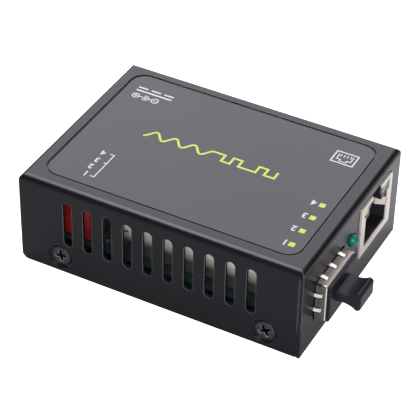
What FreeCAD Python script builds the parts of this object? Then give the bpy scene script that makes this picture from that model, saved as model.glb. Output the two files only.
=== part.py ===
import FreeCAD, Part
import math
import os
from types import SimpleNamespace

import Sketcher
from FreeCAD import Placement, Rotation, Vector

# Pocket-sized fibre media converter: a folded steel cover over a U-shaped base plate, with a
# circuit board that carries a fibre cage, a copper network jack, a DC socket and a DIP switch.
# Frame: millimetres, origin at the centre of the underside, +Z up, the ports face -Y.

SIZES = {
    # folded steel case
    "case_width": 50.0,
    "case_depth": 69.2,
    "case_height": 23.5,
    "sheet_gauge": 0.8,
    "bend_radius": 1.6,
    "seam_gap": 0.15,
    "rear_corner": 1.6,
    "base_inset": 1.5,
    "base_end_gap": 0.25,
    "base_wall_height": 7.0,
    # pressed recess in the top and the overlay sheet that lies in it
    "recess_left": -21.4,
    "recess_right": 22.2,
    "recess_front": -31.1,
    "recess_back": 31.4,
    "recess_corner": 3.75,
    "recess_drop": 0.45,
    "overlay_gap": 0.5,
    "overlay_gauge": 0.3,
    # ventilation slots in both side walls
    "vent_width": 2.2,
    "vent_length": 12.0,
    "vent_pitch": 5.0,
    "vent_count": 10,
    "vent_level": 13.8,
    "vent_row_centre": -0.15,
    # cover screws in their pressed dimples
    "cover_screw_front": -26.1,
    "cover_screw_back": 24.65,
    "cover_screw_level": 3.96,
    "dimple_radius": 3.25,
    "dimple_floor_radius": 2.5,
    "dimple_depth": 0.65,
    "screw_head_radius": 2.3,
    "screw_head_depth": 0.4,
    "screw_head_bevel": 0.15,
    "screw_shank_radius": 1.25,
    "screw_length": 3.8,
    "thread_clearance": 0.05,
    "thread_collar_radius": 2.5,
    "thread_collar_length": 1.1,
    # circuit board, standoffs and board screws
    "board_bottom": 4.8,
    "board_thickness": 1.6,
    "board_half_width": 20.4,
    "board_front": -33.0,
    "board_back": 33.0,
    "standoff_width": 5.0,
    "standoff_foot_radius": 2.0,
    "pan_head_radius": 2.5,
    "pan_head_height": 1.9,
    "pan_head_bevel": 0.8,
    "pin_width": 0.5,
    "pin_hole": 0.8,
    "pin_foot": 3.6,
    # fibre cage and its dust plug
    "cage_centre": -11.8,
    "cage_width": 13.9,
    "cage_bottom": 6.6,
    "cage_height": 9.7,
    "cage_wall": 0.3,
    "cage_nose": 2.6,
    "cage_corner": 0.6,
    "cage_rim": 0.2,
    "cage_back": 12.4,
    "cage_corner_slot": 0.35,
    "cage_cut_left": -19.25,
    "cage_cut_right": -4.25,
    "cage_cut_low": 6.15,
    "cage_cut_high": 16.75,
    "finger_width": 0.85,
    "finger_pitch": 4.3,
    "side_finger_pitch": 4.0,
    "plug_clearance": 0.1,
    "plug_depth": 8.6,
    "flange_gap": 0.25,
    "flange_front": 3.45,
    "flange_width": 13.4,
    "flange_height": 9.25,
    "grip_width": 7.1,
    "grip_tip": 9.0,
    "grip_lift": 0.2,
    "grip_root_height": 2.9,
    "grip_flare_height": 4.8,
    "grip_flare_front": 8.2,
    "grip_end_height": 3.4,
    "grip_hollow_radius": 4.8,
    "grip_rounding": 0.4,
    # network jack
    "jack_centre": 11.75,
    "jack_width": 16.3,
    "jack_bottom": 6.65,
    "jack_height": 13.7,
    "jack_shield": 0.3,
    "jack_proud": 0.4,
    "jack_depth": 20.8,
    "jack_cut_gap": 0.25,
    "jack_bore_width": 11.8,
    "jack_bore_low": 8.6,
    "jack_bore_depth": 13.5,
    "latch_width": 4.7,
    "window_half_span": 6.95,
    "window_low": 16.9,
    "window_high": 19.45,
    "window_width": 3.1,
    # status lamp
    "lamp_level": 14.7,
    "lamp_radius": 1.5,
    "lamp_proud": 1.6,
    "lamp_hole_radius": 1.7,
    # power socket
    "socket_centre": 13.6,
    "socket_level": 12.9,
    "socket_width": 9.0,
    "socket_height": 11.0,
    "socket_length": 14.2,
    "socket_bore_radius": 3.2,
    "socket_bore_depth": 9.8,
    "socket_pin_radius": 1.05,
    "socket_pin_bevel": 0.5,
    # piano DIP switch
    "dip_centre": -14.4,
    "dip_width": 11.6,
    "dip_front": 19.5,
    "dip_back": 29.4,
    "dip_top": 15.8,
    "dip_pitch": 2.54,
    "lever_width": 1.5,
    "lever_slot": 2.0,
    "lever_pivot_y": 27.0,
    "lever_pivot_level": 10.1,
    "lever_reach": 8.3,
    "lever_tilt": 9.0,
    "trunnion_radius": 0.45,
    "trunnion_clearance": 0.07,
    # capacitor cans
    "can_radius": 2.4,
    "can_height": 7.0,
    "can_bevel": 0.35,
}

TOP = "XY_Plane"      # sketch axes X and Y, depth measured towards +Z
FRONT = "XZ_Plane"    # sketch axes X and Z, depth measured towards -Y
SIDE = "YZ_Plane"     # sketch axes Y and Z, depth measured towards +X

TURNS = {
    "+z": Rotation(),
    "-z": Rotation(Vector(1, 0, 0), 180),
    "+x": Rotation(Vector(0, 1, 0), 90),
    "-x": Rotation(Vector(0, 1, 0), -90),
    "+y": Rotation(Vector(1, 0, 0), -90),
    "-y": Rotation(Vector(1, 0, 0), 90),
}


# ---------------------------------------------------------------- sizes and the sheet

def written(value):
    """A number as it may stand in a formula."""
    return f"({value:.6g})" if value < 0 else f"{value:.6g}"


class Size:
    """A number that remembers the spreadsheet formula it comes from."""

    def __init__(self, value, text=None):
        self.value = float(value)
        self.text = written(value) if text is None else text

    def __add__(self, other):
        other = as_size(other)
        return Size(self.value + other.value, f"({self.text} + {other.text})")

    def __sub__(self, other):
        other = as_size(other)
        return Size(self.value - other.value, f"({self.text} - {other.text})")

    def __mul__(self, other):
        other = as_size(other)
        return Size(self.value * other.value, f"({self.text} * {other.text})")

    def __truediv__(self, other):
        other = as_size(other)
        return Size(self.value / other.value, f"({self.text} / {other.text})")

    def __radd__(self, other):
        return as_size(other) + self

    def __rsub__(self, other):
        return as_size(other) - self

    def __rmul__(self, other):
        return as_size(other) * self

    def __neg__(self):
        return Size(-self.value, f"(0 - {self.text})")


def as_size(item):
    return item if isinstance(item, Size) else Size(item)


def write_sheet(document):
    """One row per driving dimension: its name, then its value under an alias of that name."""
    sheet = document.addObject("Spreadsheet::Sheet", "Sizes")
    for row, (name, value) in enumerate(SIZES.items(), start=1):
        sheet.set(f"A{row}", name)
        sheet.set(f"B{row}", str(value))
        sheet.setAlias(f"B{row}", name)
    document.recompute()
    return SimpleNamespace(**{name: Size(value, f"Sizes.{name}") for name, value in SIZES.items()})


os.makedirs("parts", exist_ok=True)
doc = FreeCAD.newDocument("media_converter")
size = write_sheet(doc)
parts = {}


def bind(item, path, value):
    item.setExpression(path, as_size(value).text)


def keep(node, item):
    """Name an object as one of the finished sub-parts."""
    item.Label = node
    parts[node] = item
    return item


# ---------------------------------------------------------------- Part primitives

def place(item, spot, turn="+z"):
    item.Placement = Placement(Vector(), TURNS[turn])
    for axis, value in zip("xyz", spot):
        bind(item, f"Placement.Base.{axis}", value)


def block(name, x_span, y_span, z_span):
    """Box between two planes on each axis."""
    item = doc.addObject("Part::Box", name)
    for side, (low, high) in zip(("Length", "Width", "Height"), (x_span, y_span, z_span)):
        bind(item, side, as_size(high) - low)
    place(item, (x_span[0], y_span[0], z_span[0]))
    return item


def rod(name, radius, start, length, turn="+z"):
    item = doc.addObject("Part::Cylinder", name)
    bind(item, "Radius", radius)
    bind(item, "Height", length)
    place(item, start, turn)
    return item


def cone(name, near_radius, far_radius, start, length, turn="+z"):
    item = doc.addObject("Part::Cone", name)
    bind(item, "Radius1", near_radius)
    bind(item, "Radius2", far_radius)
    bind(item, "Height", length)
    place(item, start, turn)
    return item


def join(name, items):
    item = doc.addObject("Part::MultiFuse", name)
    item.Shapes = items
    item.Refine = True
    return item


def group(name, items):
    """Separate solids of one node, such as four equal screws."""
    item = doc.addObject("Part::Compound", name)
    item.Links = items
    return item


def remove(name, base, tools):
    item = doc.addObject("Part::Cut", name)
    item.Base = base
    item.Tool = tools[0] if len(tools) == 1 else group(name + "_tools", tools)
    return item


def edge_numbers(shape, test):
    return [number for number, edge in enumerate(shape.Edges, start=1) if test(edge)]


def soften(name, base, radius, test):
    """Round the edges of a Part object that pass a test."""
    doc.recompute()
    item = doc.addObject("Part::Fillet", name)
    item.Base = base
    item.Edges = [(number, radius, radius) for number in edge_numbers(base.Shape, test)]
    return item


def runs_along(axis):
    """Test for a straight edge parallel to one axis."""
    def test(edge):
        if not isinstance(edge.Curve, Part.Line):
            return False
        return abs(abs(edge.Curve.Direction.dot(axis)) - 1) < 1e-6
    return test


# ---------------------------------------------------------------- PartDesign bodies

def new_body(name, several=False):
    body = doc.addObject("PartDesign::Body", name)
    body.AllowCompound = several
    return body


def origin_feature(body, role):
    return next(item for item in body.Origin.OriginFeatures if item.Role == role)


def new_sketch(body, name, plane, depth):
    sketch = body.newObject("Sketcher::SketchObject", name)
    sketch.AttachmentSupport = [(origin_feature(body, plane), "")]
    sketch.MapMode = "FlatFace"
    bind(sketch, "AttachmentOffset.Base.z", depth)
    return sketch


def fix_point(sketch, geometry, end, spot):
    """Tie one point of a sketch to the origin by two bound distances."""
    for kind, value in zip(("DistanceX", "DistanceY"), spot):
        value = as_size(value)
        number = sketch.addConstraint(Sketcher.Constraint(kind, -1, 1, geometry, end, value.value))
        bind(sketch, f"Constraints[{number}]", value)


def fix_radius(sketch, geometry, radius):
    number = sketch.addConstraint(Sketcher.Constraint("Radius", geometry, as_size(radius).value))
    bind(sketch, f"Constraints[{number}]", radius)


def flat_point(spot):
    return Vector(as_size(spot[0]).value, as_size(spot[1]).value, 0)


def side_of(sketch, start, end, radius):
    """One side of an outline: a line, or an arc whose centre lies left of it (right if radius < 0)."""
    if radius is None:
        return sketch.addGeometry(Part.LineSegment(start, end), False), 1, 2
    chord = end - start
    leftward = Vector(-chord.y, chord.x, 0).normalize()
    turn = 1 if radius.value > 0 else -1
    rise = math.sqrt(radius.value ** 2 - (chord.Length / 2) ** 2)
    centre = (start + end) * 0.5 + leftward * rise * turn
    first, last = (start, end) if turn > 0 else (end, start)
    first_angle, last_angle = (math.atan2((spot - centre).y, (spot - centre).x) for spot in (first, last))
    if last_angle < first_angle:
        last_angle += 2 * math.pi
    ring = Part.Circle(centre, Vector(0, 0, 1), abs(radius.value))
    arc = sketch.addGeometry(Part.ArcOfCircle(ring, first_angle, last_angle), False)
    fix_radius(sketch, arc, radius * turn)
    return (arc, 1, 2) if turn > 0 else (arc, 2, 1)


def outline(corners, bows=None):
    """Closed loop through the corners; bows gives the signed radius of the sides that are arcs."""
    bows = bows or {}

    def draw(sketch):
        count = len(corners)
        spots = [flat_point(corner) for corner in corners]
        sides = [side_of(sketch, spots[number], spots[(number + 1) % count], bows.get(number))
                 for number in range(count)]
        for number, (side, first, last) in enumerate(sides):
            following, following_first, _ = sides[(number + 1) % count]
            join_ends = Sketcher.Constraint("Coincident", side, last, following, following_first)
            sketch.addConstraint(join_ends)
            fix_point(sketch, side, first, corners[number])
    return draw


def rectangle(left, right, low, high):
    return outline([(left, low), (right, low), (right, high), (left, high)])


def disc(across, up, radius):
    def draw(sketch):
        centre = flat_point((across, up))
        shape = Part.Circle(centre, Vector(0, 0, 1), as_size(radius).value)
        number = sketch.addGeometry(shape, False)
        fix_point(sketch, number, 3, (across, up))
        fix_radius(sketch, number, radius)
    return draw


def upright_slot(across, up, width, length):
    """Slot with round ends: two half circles joined by tangent lines."""
    half = as_size(width) / 2
    reach = (as_size(length) - width) / 2

    def draw(sketch):
        ends = []
        for sign, start_angle in ((1, 0.0), (-1, math.pi)):
            centre = (across, as_size(up) + reach * sign)
            ring = Part.Circle(flat_point(centre), Vector(0, 0, 1), half.value)
            arc = Part.ArcOfCircle(ring, start_angle, start_angle + math.pi)
            number = sketch.addGeometry(arc, False)
            fix_point(sketch, number, 3, centre)
            ends.append(number)
        upper, lower = ends
        for sign in (1, -1):
            top = flat_point((as_size(across) + half * sign, as_size(up) + reach))
            bottom = flat_point((as_size(across) + half * sign, as_size(up) - reach))
            side = sketch.addGeometry(Part.LineSegment(top, bottom), False)
            upper_end, lower_end = (1, 2) if sign > 0 else (2, 1)
            sketch.addConstraint(Sketcher.Constraint("Tangent", side, 1, upper, upper_end))
            sketch.addConstraint(Sketcher.Constraint("Tangent", side, 2, lower, lower_end))
        sketch.addConstraint(Sketcher.Constraint("Equal", upper, lower))
        fix_radius(sketch, upper, half)
    return draw


def prism(body, name, plane, shapes, near, far, cut=False):
    """Pad or pocket the drawn shapes between two depths along the plane's normal."""
    sketch = new_sketch(body, name + "_sketch", plane, near)
    for draw in shapes:
        draw(sketch)
    feature = body.newObject("PartDesign::Pocket" if cut else "PartDesign::Pad", name)
    feature.Profile = sketch
    bind(feature, "Length", as_size(far) - near)
    feature.Reversed = cut
    return feature


def lathe(body, name, centre_y, centre_z, corners, cut=False):
    """Turn an outline of (x, radius) corners about a line along X."""
    sketch = new_sketch(body, name + "_sketch", TOP, centre_z)
    bind(sketch, "AttachmentOffset.Base.y", centre_y)
    outline(corners)(sketch)
    feature = body.newObject("PartDesign::Groove" if cut else "PartDesign::Revolution", name)
    feature.Profile = sketch
    feature.ReferenceAxis = (sketch, ["H_Axis"])
    feature.Angle = 360
    return feature


def round_off(body, name, radius, test):
    """Round the edges of a body's latest shape that pass a test."""
    doc.recompute()
    base = body.Tip
    fillet = body.newObject("PartDesign::Fillet", name)
    fillet.Base = (base, [f"Edge{number}" for number in edge_numbers(base.Shape, test)])
    bind(fillet, "Radius", radius)
    return fillet


def bevel_off(body, name, width, test):
    """Bevel the edges of a body's latest shape that pass a test."""
    doc.recompute()
    base = body.Tip
    bevel = body.newObject("PartDesign::Chamfer", name)
    bevel.Base = (base, [f"Edge{number}" for number in edge_numbers(base.Shape, test)])
    bind(bevel, "Size", width)
    return bevel


def repeat(body, name, feature, axis, pitch, count):
    """Row of equal features along one of the body's axes."""
    pattern = body.newObject("PartDesign::LinearPattern", name)
    pattern.Originals = [feature]
    pattern.Direction = (origin_feature(body, axis), [""])
    bind(pattern, "Length", as_size(pitch) * (as_size(count) - 1))
    bind(pattern, "Occurrences", count)
    body.Tip = pattern
    return pattern


# ---------------------------------------------------------------- places used by several pieces

half_width = size.case_width / 2
half_depth = size.case_depth / 2
roof_under = size.case_height - size.sheet_gauge
board_top = size.board_bottom + size.board_thickness
base_half_width = half_width - size.base_inset
base_half_depth = half_depth - size.sheet_gauge - size.base_end_gap
cage_half = size.cage_width / 2
cage_left = size.cage_centre - cage_half
cage_right = size.cage_centre + cage_half
cage_top = size.cage_bottom + size.cage_height
cage_middle = size.cage_bottom + size.cage_height / 2
cage_front = -half_depth - size.cage_nose
jack_left = size.jack_centre - size.jack_width / 2
jack_right = size.jack_centre + size.jack_width / 2
jack_top = size.jack_bottom + size.jack_height
jack_face = -half_depth - size.jack_proud
jack_rear = jack_face + size.jack_depth

COVER_SCREW_ROWS = (size.cover_screw_front, size.cover_screw_back)
BOARD_SCREWS = ((-0.5, -22.0), (-5.2, 16.9), (17.0, -9.0), (17.2, 15.8))
CAGE_PIN_ROWS = (-28.0, -14.5, -4.5, 5.0)
CAGE_SIDE_NOTCHES = (-19.5, -9.5)
DIP_PIN_ROWS = (20.6, 28.2)
CAPACITORS = ((-14.5, 16.8), (1.5, 22.6), (1.5, 28.8))
SOCKET_LUGS = ((0.0, 21.6), (0.0, 27.6), (4.2, 24.6))
JACK_PINS = tuple((-4.5 + 1.29 * number, -17.0 - 2.54 * (number % 2)) for number in range(8))
LAMP_LEAD_Y = -30.4
lamp_back = -half_depth + 3.0
jack_lamp_lefts = (size.jack_centre - size.window_half_span,
                   size.jack_centre + size.window_half_span - size.window_width)
LAMP_LEAD_SPACING = 2.0
top_fingers = tuple(size.cage_centre + size.finger_pitch * step for step in (-1, 0, 1))
side_fingers = tuple(cage_middle + size.side_finger_pitch * step for step in (-0.5, 0.5))
socket_top = board_top + size.socket_height
socket_back = half_depth - size.socket_length
dip_levers = tuple(size.dip_centre + size.dip_pitch * (number - 1.5) for number in range(4))


# ---------------------------------------------------------------- case

def lies_at(level):
    """Test for an edge whose ends are all at one height."""
    def test(edge):
        return all(abs(vertex.Point.z - level) < 1e-6 for vertex in edge.Vertexes)
    return test


def ends_at_y(level):
    """Test for an edge whose ends both lie in one plane across Y."""
    def test(edge):
        return all(abs(vertex.Point.y - level) < 1e-6 for vertex in edge.Vertexes)
    return test


def is_upright_between(low, high):
    """Test for a vertical edge within a range of heights."""
    upright = runs_along(Vector(0, 0, 1))

    def test(edge):
        box = edge.BoundBox
        return upright(edge) and box.ZMin > low and box.ZMax < high
    return test


def build_cover():
    """Cover folded from one sheet: roof, front, rear and two side flanges with open corners."""
    body = new_body("cover")
    outside = rectangle(-half_width, half_width, -half_depth, half_depth)
    prism(body, "outside", TOP, [outside], 0, size.case_height)
    round_off(body, "outer_bends", size.bend_radius, lies_at(size.case_height.value))
    inner_x = half_width - size.sheet_gauge
    inner_y = half_depth - size.sheet_gauge
    inside = rectangle(-inner_x, inner_x, -inner_y, inner_y)
    prism(body, "inside", TOP, [inside], 0, roof_under, cut=True)
    add_recess(body)
    add_vents(body)
    add_dimples(body)
    add_front_openings(body)
    add_rear_openings(body)
    add_corner_seams(body)
    round_rear_corners(body)
    keep("housing_cover", body)


def add_recess(body):
    """Press the middle of the roof down by the depth of the overlay, at an even gauge."""
    margin = size.sheet_gauge
    floor = roof_under - size.recess_drop
    under = rectangle(size.recess_left - margin, size.recess_right + margin,
                      size.recess_front - margin, size.recess_back + margin)
    prism(body, "pressed_under", TOP, [under], floor, roof_under)
    field = rectangle(size.recess_left, size.recess_right, size.recess_front, size.recess_back)
    recess_floor = size.case_height - size.recess_drop
    prism(body, "pressed_field", TOP, [field], recess_floor, size.case_height, cut=True)
    corners = is_upright_between(recess_floor.value - 0.01, size.case_height.value + 0.01)
    round_off(body, "field_corners", size.recess_corner, corners)


def add_vents(body):
    """Ten upright slots through both side walls at once, repeated along Y."""
    first = size.vent_row_centre - size.vent_pitch * (size.vent_count - 1) / 2
    slot = upright_slot(first, size.vent_level, size.vent_width, size.vent_length)
    vent = prism(body, "vent", SIDE, [slot], -half_width - 1, half_width + 1, cut=True)
    repeat(body, "vent_row", vent, "Y_Axis", size.vent_pitch, size.vent_count)


def add_dimples(body):
    """Dimple for each side screw: the sheet pressed inwards to a cone with a countersunk hole."""
    gauge = size.sheet_gauge
    outer = size.dimple_radius + 0.25
    floor_radius = size.dimple_floor_radius + 0.25
    seat = size.screw_head_radius + size.thread_clearance
    hole = size.screw_shank_radius + 0.15
    for side in (-1, 1):
        wall = half_width * side
        inner = wall - gauge * side
        floor = wall - size.dimple_depth * side
        bulge = floor - gauge * side
        for number, along in enumerate(COVER_SCREW_ROWS):
            name = f"dimple_{'left' if side < 0 else 'right'}_{number}"
            pressed = [(inner + 0.2 * side, 0), (inner + 0.2 * side, outer), (inner, outer),
                       (bulge, floor_radius), (bulge, 0)]
            lathe(body, name + "_bulge", along, size.cover_screw_level, pressed)
            sunk = [(wall + 0.5 * side, 0), (wall + 0.5 * side, size.dimple_radius),
                    (wall, size.dimple_radius), (floor, size.dimple_floor_radius), (floor, seat),
                    (bulge, hole), (bulge - 1 * side, hole), (bulge - 1 * side, 0)]
            lathe(body, name + "_sink", along, size.cover_screw_level, sunk, cut=True)


def add_front_openings(body):
    """Cut-outs for the fibre cage, the network jack and the status lamp."""
    gap = size.jack_cut_gap
    cage = rectangle(size.cage_cut_left, size.cage_cut_right, size.cage_cut_low, size.cage_cut_high)
    jack = rectangle(jack_left - gap, jack_right + gap, size.jack_bottom - gap, jack_top + gap)
    lamp = disc(0, size.lamp_level, size.lamp_hole_radius)
    near = half_depth - size.sheet_gauge - 1
    prism(body, "front_openings", FRONT, [cage, jack, lamp], near, half_depth + 1, cut=True)


def add_rear_openings(body):
    """Cut-outs for the power socket and the switch levers."""
    gap = 0.2
    half = size.socket_width / 2 + gap
    socket = rectangle(size.socket_centre - half, size.socket_centre + half,
                       board_top - gap, socket_top + gap)
    levers = rectangle(size.dip_centre - size.dip_width / 2 + 0.4,
                       size.dip_centre + size.dip_width / 2 - 0.4,
                       size.lever_pivot_level - 2.6, size.lever_pivot_level + 2.6)
    far = -half_depth + size.sheet_gauge + 1
    prism(body, "rear_openings", FRONT, [socket, levers], -half_depth - 1, far, cut=True)


def add_corner_seams(body):
    """Slits beside the corners: the front flange spans the sides, and the sides span the rear one."""
    seam_top = size.case_height - size.bend_radius - 0.3
    beyond = 0.5
    slits = []
    for side in (-1, 1):
        inner = (half_width - size.sheet_gauge) * side
        outer = (half_width + beyond) * side
        spans = sorted((inner - 0.1 * side, outer), key=lambda span: span.value)
        near = size.sheet_gauge - half_depth
        slits.append(rectangle(*spans, near, near + size.seam_gap))
        spans = sorted((inner - size.seam_gap * side, inner), key=lambda span: span.value)
        slits.append(rectangle(*spans, half_depth - size.sheet_gauge - 0.1, half_depth + beyond))
    prism(body, "corner_slits", TOP, slits, 0, seam_top, cut=True)


def round_rear_corners(body):
    """Round the lower rear corner of each side flange."""
    along_x = runs_along(Vector(1, 0, 0))

    def flange_corner(edge):
        box = edge.BoundBox
        at_foot = along_x(edge) and box.ZMax < 1e-6 and abs(box.YMax - half_depth.value) < 1e-6
        return at_foot and box.XLength < size.sheet_gauge.value + 0.01

    round_off(body, "rear_corners", size.rear_corner, flange_corner)


def build_base():
    """U-shaped base plate: floor with a wall turned up along each side."""
    body = new_body("base")
    gauge = size.sheet_gauge
    wall = size.base_wall_height
    inner = base_half_width - gauge
    section = [(-base_half_width, 0), (base_half_width, 0), (base_half_width, wall), (inner, wall),
               (inner, gauge), (-inner, gauge), (-inner, wall), (-base_half_width, wall)]
    prism(body, "channel", FRONT, [outline(section)], -base_half_depth, base_half_depth)

    def outer_bend(edge):
        return along_y(edge) and abs(edge.Vertexes[0].Point.z) < 1e-6

    along_y = runs_along(Vector(0, 1, 0))
    round_off(body, "outer_bends", gauge + 0.5, outer_bend)
    add_thread_collars(body)
    seats = [disc(x, y, size.standoff_foot_radius + 0.05) for x, y in BOARD_SCREWS]
    prism(body, "standoff_holes", TOP, seats, -1, gauge + 1, cut=True)
    keep("base_plate", body)


def add_thread_collars(body):
    """Drawn collar with a threaded hole for each cover screw."""
    hole = size.screw_shank_radius + size.thread_clearance
    inner = base_half_width - size.sheet_gauge
    rings = [disc(along, size.cover_screw_level, size.thread_collar_radius) for along in COVER_SCREW_ROWS]
    holes = [disc(along, size.cover_screw_level, hole) for along in COVER_SCREW_ROWS]
    tip = inner - size.thread_collar_length
    prism(body, "right_collars", SIDE, rings, tip, inner + 0.2)
    prism(body, "left_collars", SIDE, rings, -inner - 0.2, -tip)
    prism(body, "collar_holes", SIDE, holes, -base_half_width - 1, base_half_width + 1, cut=True)


def build_overlay():
    """Printed overlay sheet that lies in the pressed field of the roof."""
    body = new_body("overlay")
    gap = size.overlay_gap
    sheet_floor = size.case_height - size.recess_drop
    field = rectangle(size.recess_left + gap, size.recess_right - gap,
                      size.recess_front + gap, size.recess_back - gap)
    prism(body, "sheet", TOP, [field], sheet_floor, sheet_floor + size.overlay_gauge)
    corners = is_upright_between(sheet_floor.value - 0.01, size.case_height.value)
    round_off(body, "corners", size.recess_corner - gap, corners)
    keep("label_overlay", body)


# ---------------------------------------------------------------- fasteners

def cross_recess(name, spot, turn, width, depth):
    """Two crossed blades that sink into a screw head; turn is x or z, the screw's axis."""
    half = width / 2
    thin = 0.3
    x, y, z = spot
    if turn == "x":
        reach = (x - depth, x + depth)
        first = block(name + "_up", reach, (y - thin, y + thin), (z - half, z + half))
        second = block(name + "_across", reach, (y - half, y + half), (z - thin, z + thin))
    else:
        reach = (z - depth, z + depth)
        first = block(name + "_up", (x - thin, x + thin), (y - half, y + half), reach)
        second = block(name + "_across", (x - half, x + half), (y - thin, y + thin), reach)
    return [first, second]


def build_cover_screws():
    """Four countersunk cross-head screws, two in each side wall."""
    screws = []
    rim_height = size.dimple_depth - size.screw_head_depth
    for side, turn in ((-1, "+x"), (1, "-x")):
        face = (half_width - size.screw_head_depth) * side
        seat = (half_width - size.dimple_depth) * side
        for number, along in enumerate(COVER_SCREW_ROWS):
            name = f"cover_screw_{'left' if side < 0 else 'right'}_{number}"
            top = (face, along, size.cover_screw_level)
            low = (seat, along, size.cover_screw_level)
            rim = cone(name + "_rim", size.screw_head_radius - size.screw_head_bevel,
                       size.screw_head_radius, top, rim_height, turn)
            head = cone(name + "_head", size.screw_head_radius, size.screw_shank_radius, low,
                        size.sheet_gauge, turn)
            shank = rod(name + "_shank", size.screw_shank_radius, low, size.screw_length, turn)
            solid = join(name + "_solid", [rim, head, shank])
            screws.append(remove(name, solid, cross_recess(name, top, "x", 2.2, 0.8)))
    keep("cover_screws", group("cover_screw_set", screws))


def build_board_screws():
    """Four pan-head screws that hold the board on its standoffs."""
    screws = []
    foot = size.sheet_gauge + 0.6
    for number, (x, y) in enumerate(BOARD_SCREWS):
        name = f"board_screw_{number}"
        rim_height = size.pan_head_height - size.pan_head_bevel
        rim = rod(name + "_rim", size.pan_head_radius, (x, y, board_top), rim_height)
        crown = cone(name + "_crown", size.pan_head_radius, size.pan_head_radius - size.pan_head_bevel,
                     (x, y, board_top + rim_height), size.pan_head_bevel)
        shank = rod(name + "_shank", size.screw_shank_radius, (x, y, foot), board_top - foot)
        top = (x, y, board_top + size.pan_head_height)
        solid = join(name + "_solid", [rim, crown, shank])
        screws.append(remove(name, solid, cross_recess(name, top, "z", 2.4, 1.0)))
    keep("board_screws", group("board_screw_set", screws))


def build_standoffs():
    """Four hexagonal standoffs pressed into the base plate."""
    bore = size.screw_shank_radius + size.thread_clearance
    standoffs = []
    for number, (x, y) in enumerate(BOARD_SCREWS):
        name = f"standoff_{number}"
        hexagon = doc.addObject("Part::Prism", name + "_hexagon")
        hexagon.Polygon = 6
        bind(hexagon, "Circumradius", size.standoff_width / math.sqrt(3))
        bind(hexagon, "Height", size.board_bottom - size.sheet_gauge)
        place(hexagon, (x, y, size.sheet_gauge))
        foot = rod(name + "_foot", size.standoff_foot_radius, (x, y, 0.05), size.sheet_gauge)
        hole = rod(name + "_hole", bore, (x, y, 0), size.board_bottom + 1)
        standoffs.append(remove(name, join(name + "_solid", [hexagon, foot]), [hole]))
    keep("board_standoffs", group("standoff_set", standoffs))


# ---------------------------------------------------------------- circuit board

def pin_hole(x, y):
    half = size.pin_hole / 2
    return rectangle(x - half, x + half, y - half, y + half)


def pin_places():
    """Every spot where a leg passes through the board."""
    spots = [(cage_left + size.cage_wall / 2, y) for y in CAGE_PIN_ROWS]
    spots += [(cage_right - size.cage_wall / 2, y) for y in CAGE_PIN_ROWS]
    spots += [(x, y) for x in dip_levers for y in DIP_PIN_ROWS]
    spots += [(size.socket_centre + x, y) for x, y in SOCKET_LUGS]
    spots += [(size.jack_centre + x, y) for x, y in JACK_PINS]
    spots += [(side * LAMP_LEAD_SPACING / 2, LAMP_LEAD_Y) for side in (-1, 1)]
    return spots


def build_board():
    """Circuit board with its screw holes and leg holes."""
    body = new_body("board")
    plate = rectangle(-size.board_half_width, size.board_half_width, size.board_front, size.board_back)
    holes = [disc(x, y, size.screw_shank_radius + 0.15) for x, y in BOARD_SCREWS]
    prism(body, "plate", TOP, [plate] + holes, size.board_bottom, board_top)
    legs = [pin_hole(x, y) for x, y in pin_places()]
    prism(body, "leg_holes", TOP, legs, size.board_bottom - 1, board_top + 1, cut=True)
    keep("circuit_board", body)


def leg(name, x, y, top):
    half = size.pin_width / 2
    return block(name, (x - half, x + half), (y - half, y + half), (size.pin_foot, top))


# ---------------------------------------------------------------- fibre cage and dust plug

def build_cage():
    """Fibre cage: a square tube of thin sheet, open in front, with legs along both sides."""
    body = new_body("cage")
    wall = size.cage_wall
    along_y = runs_along(Vector(0, 1, 0))
    outside = rectangle(cage_left, cage_right, size.cage_bottom, cage_top)
    inside = rectangle(cage_left + wall, cage_right - wall, size.cage_bottom + wall, cage_top - wall)
    prism(body, "tube", FRONT, [outside], -size.cage_back, -cage_front)
    round_off(body, "tube_edges", size.cage_corner, along_y)
    prism(body, "bore", FRONT, [inside], -size.cage_back + wall, -cage_front + 1, cut=True)

    def bore_corner(edge):
        return along_y(edge) and edge.BoundBox.YMax < size.cage_back.value - 0.01

    round_off(body, "bore_corners", size.cage_corner - wall, bore_corner)
    bevel_off(body, "nose_rim", size.cage_rim, is_nose_rim)
    mouth = rectangle(cage_left + 0.9, cage_right - 0.9, 0.8, size.cage_back - wall)
    prism(body, "connector_mouth", TOP, [mouth], size.cage_bottom - 1, size.cage_bottom + 1, cut=True)
    add_finger_windows(body)
    add_cage_notches(body)
    for side, near in ((-1, cage_left), (1, cage_right - wall)):
        for number, y in enumerate(CAGE_PIN_ROWS):
            foot = rectangle(near, near + wall, y - size.pin_width / 2, y + size.pin_width / 2)
            name = f"leg_{'left' if side < 0 else 'right'}_{number}"
            prism(body, name, TOP, [foot], size.pin_foot, size.cage_bottom + 1)
    keep("fibre_cage", body)


def is_nose_rim(edge):
    """Test for the outer edges of the cage's front end."""
    box = edge.BoundBox
    beside = box.XMin < cage_left.value + 0.01 or box.XMax > cage_right.value - 0.01
    level = box.ZMin < size.cage_bottom.value + 0.01 or box.ZMax > cage_top.value - 0.01
    return ends_at_y(cage_front.value)(edge) and (beside or level)


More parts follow.
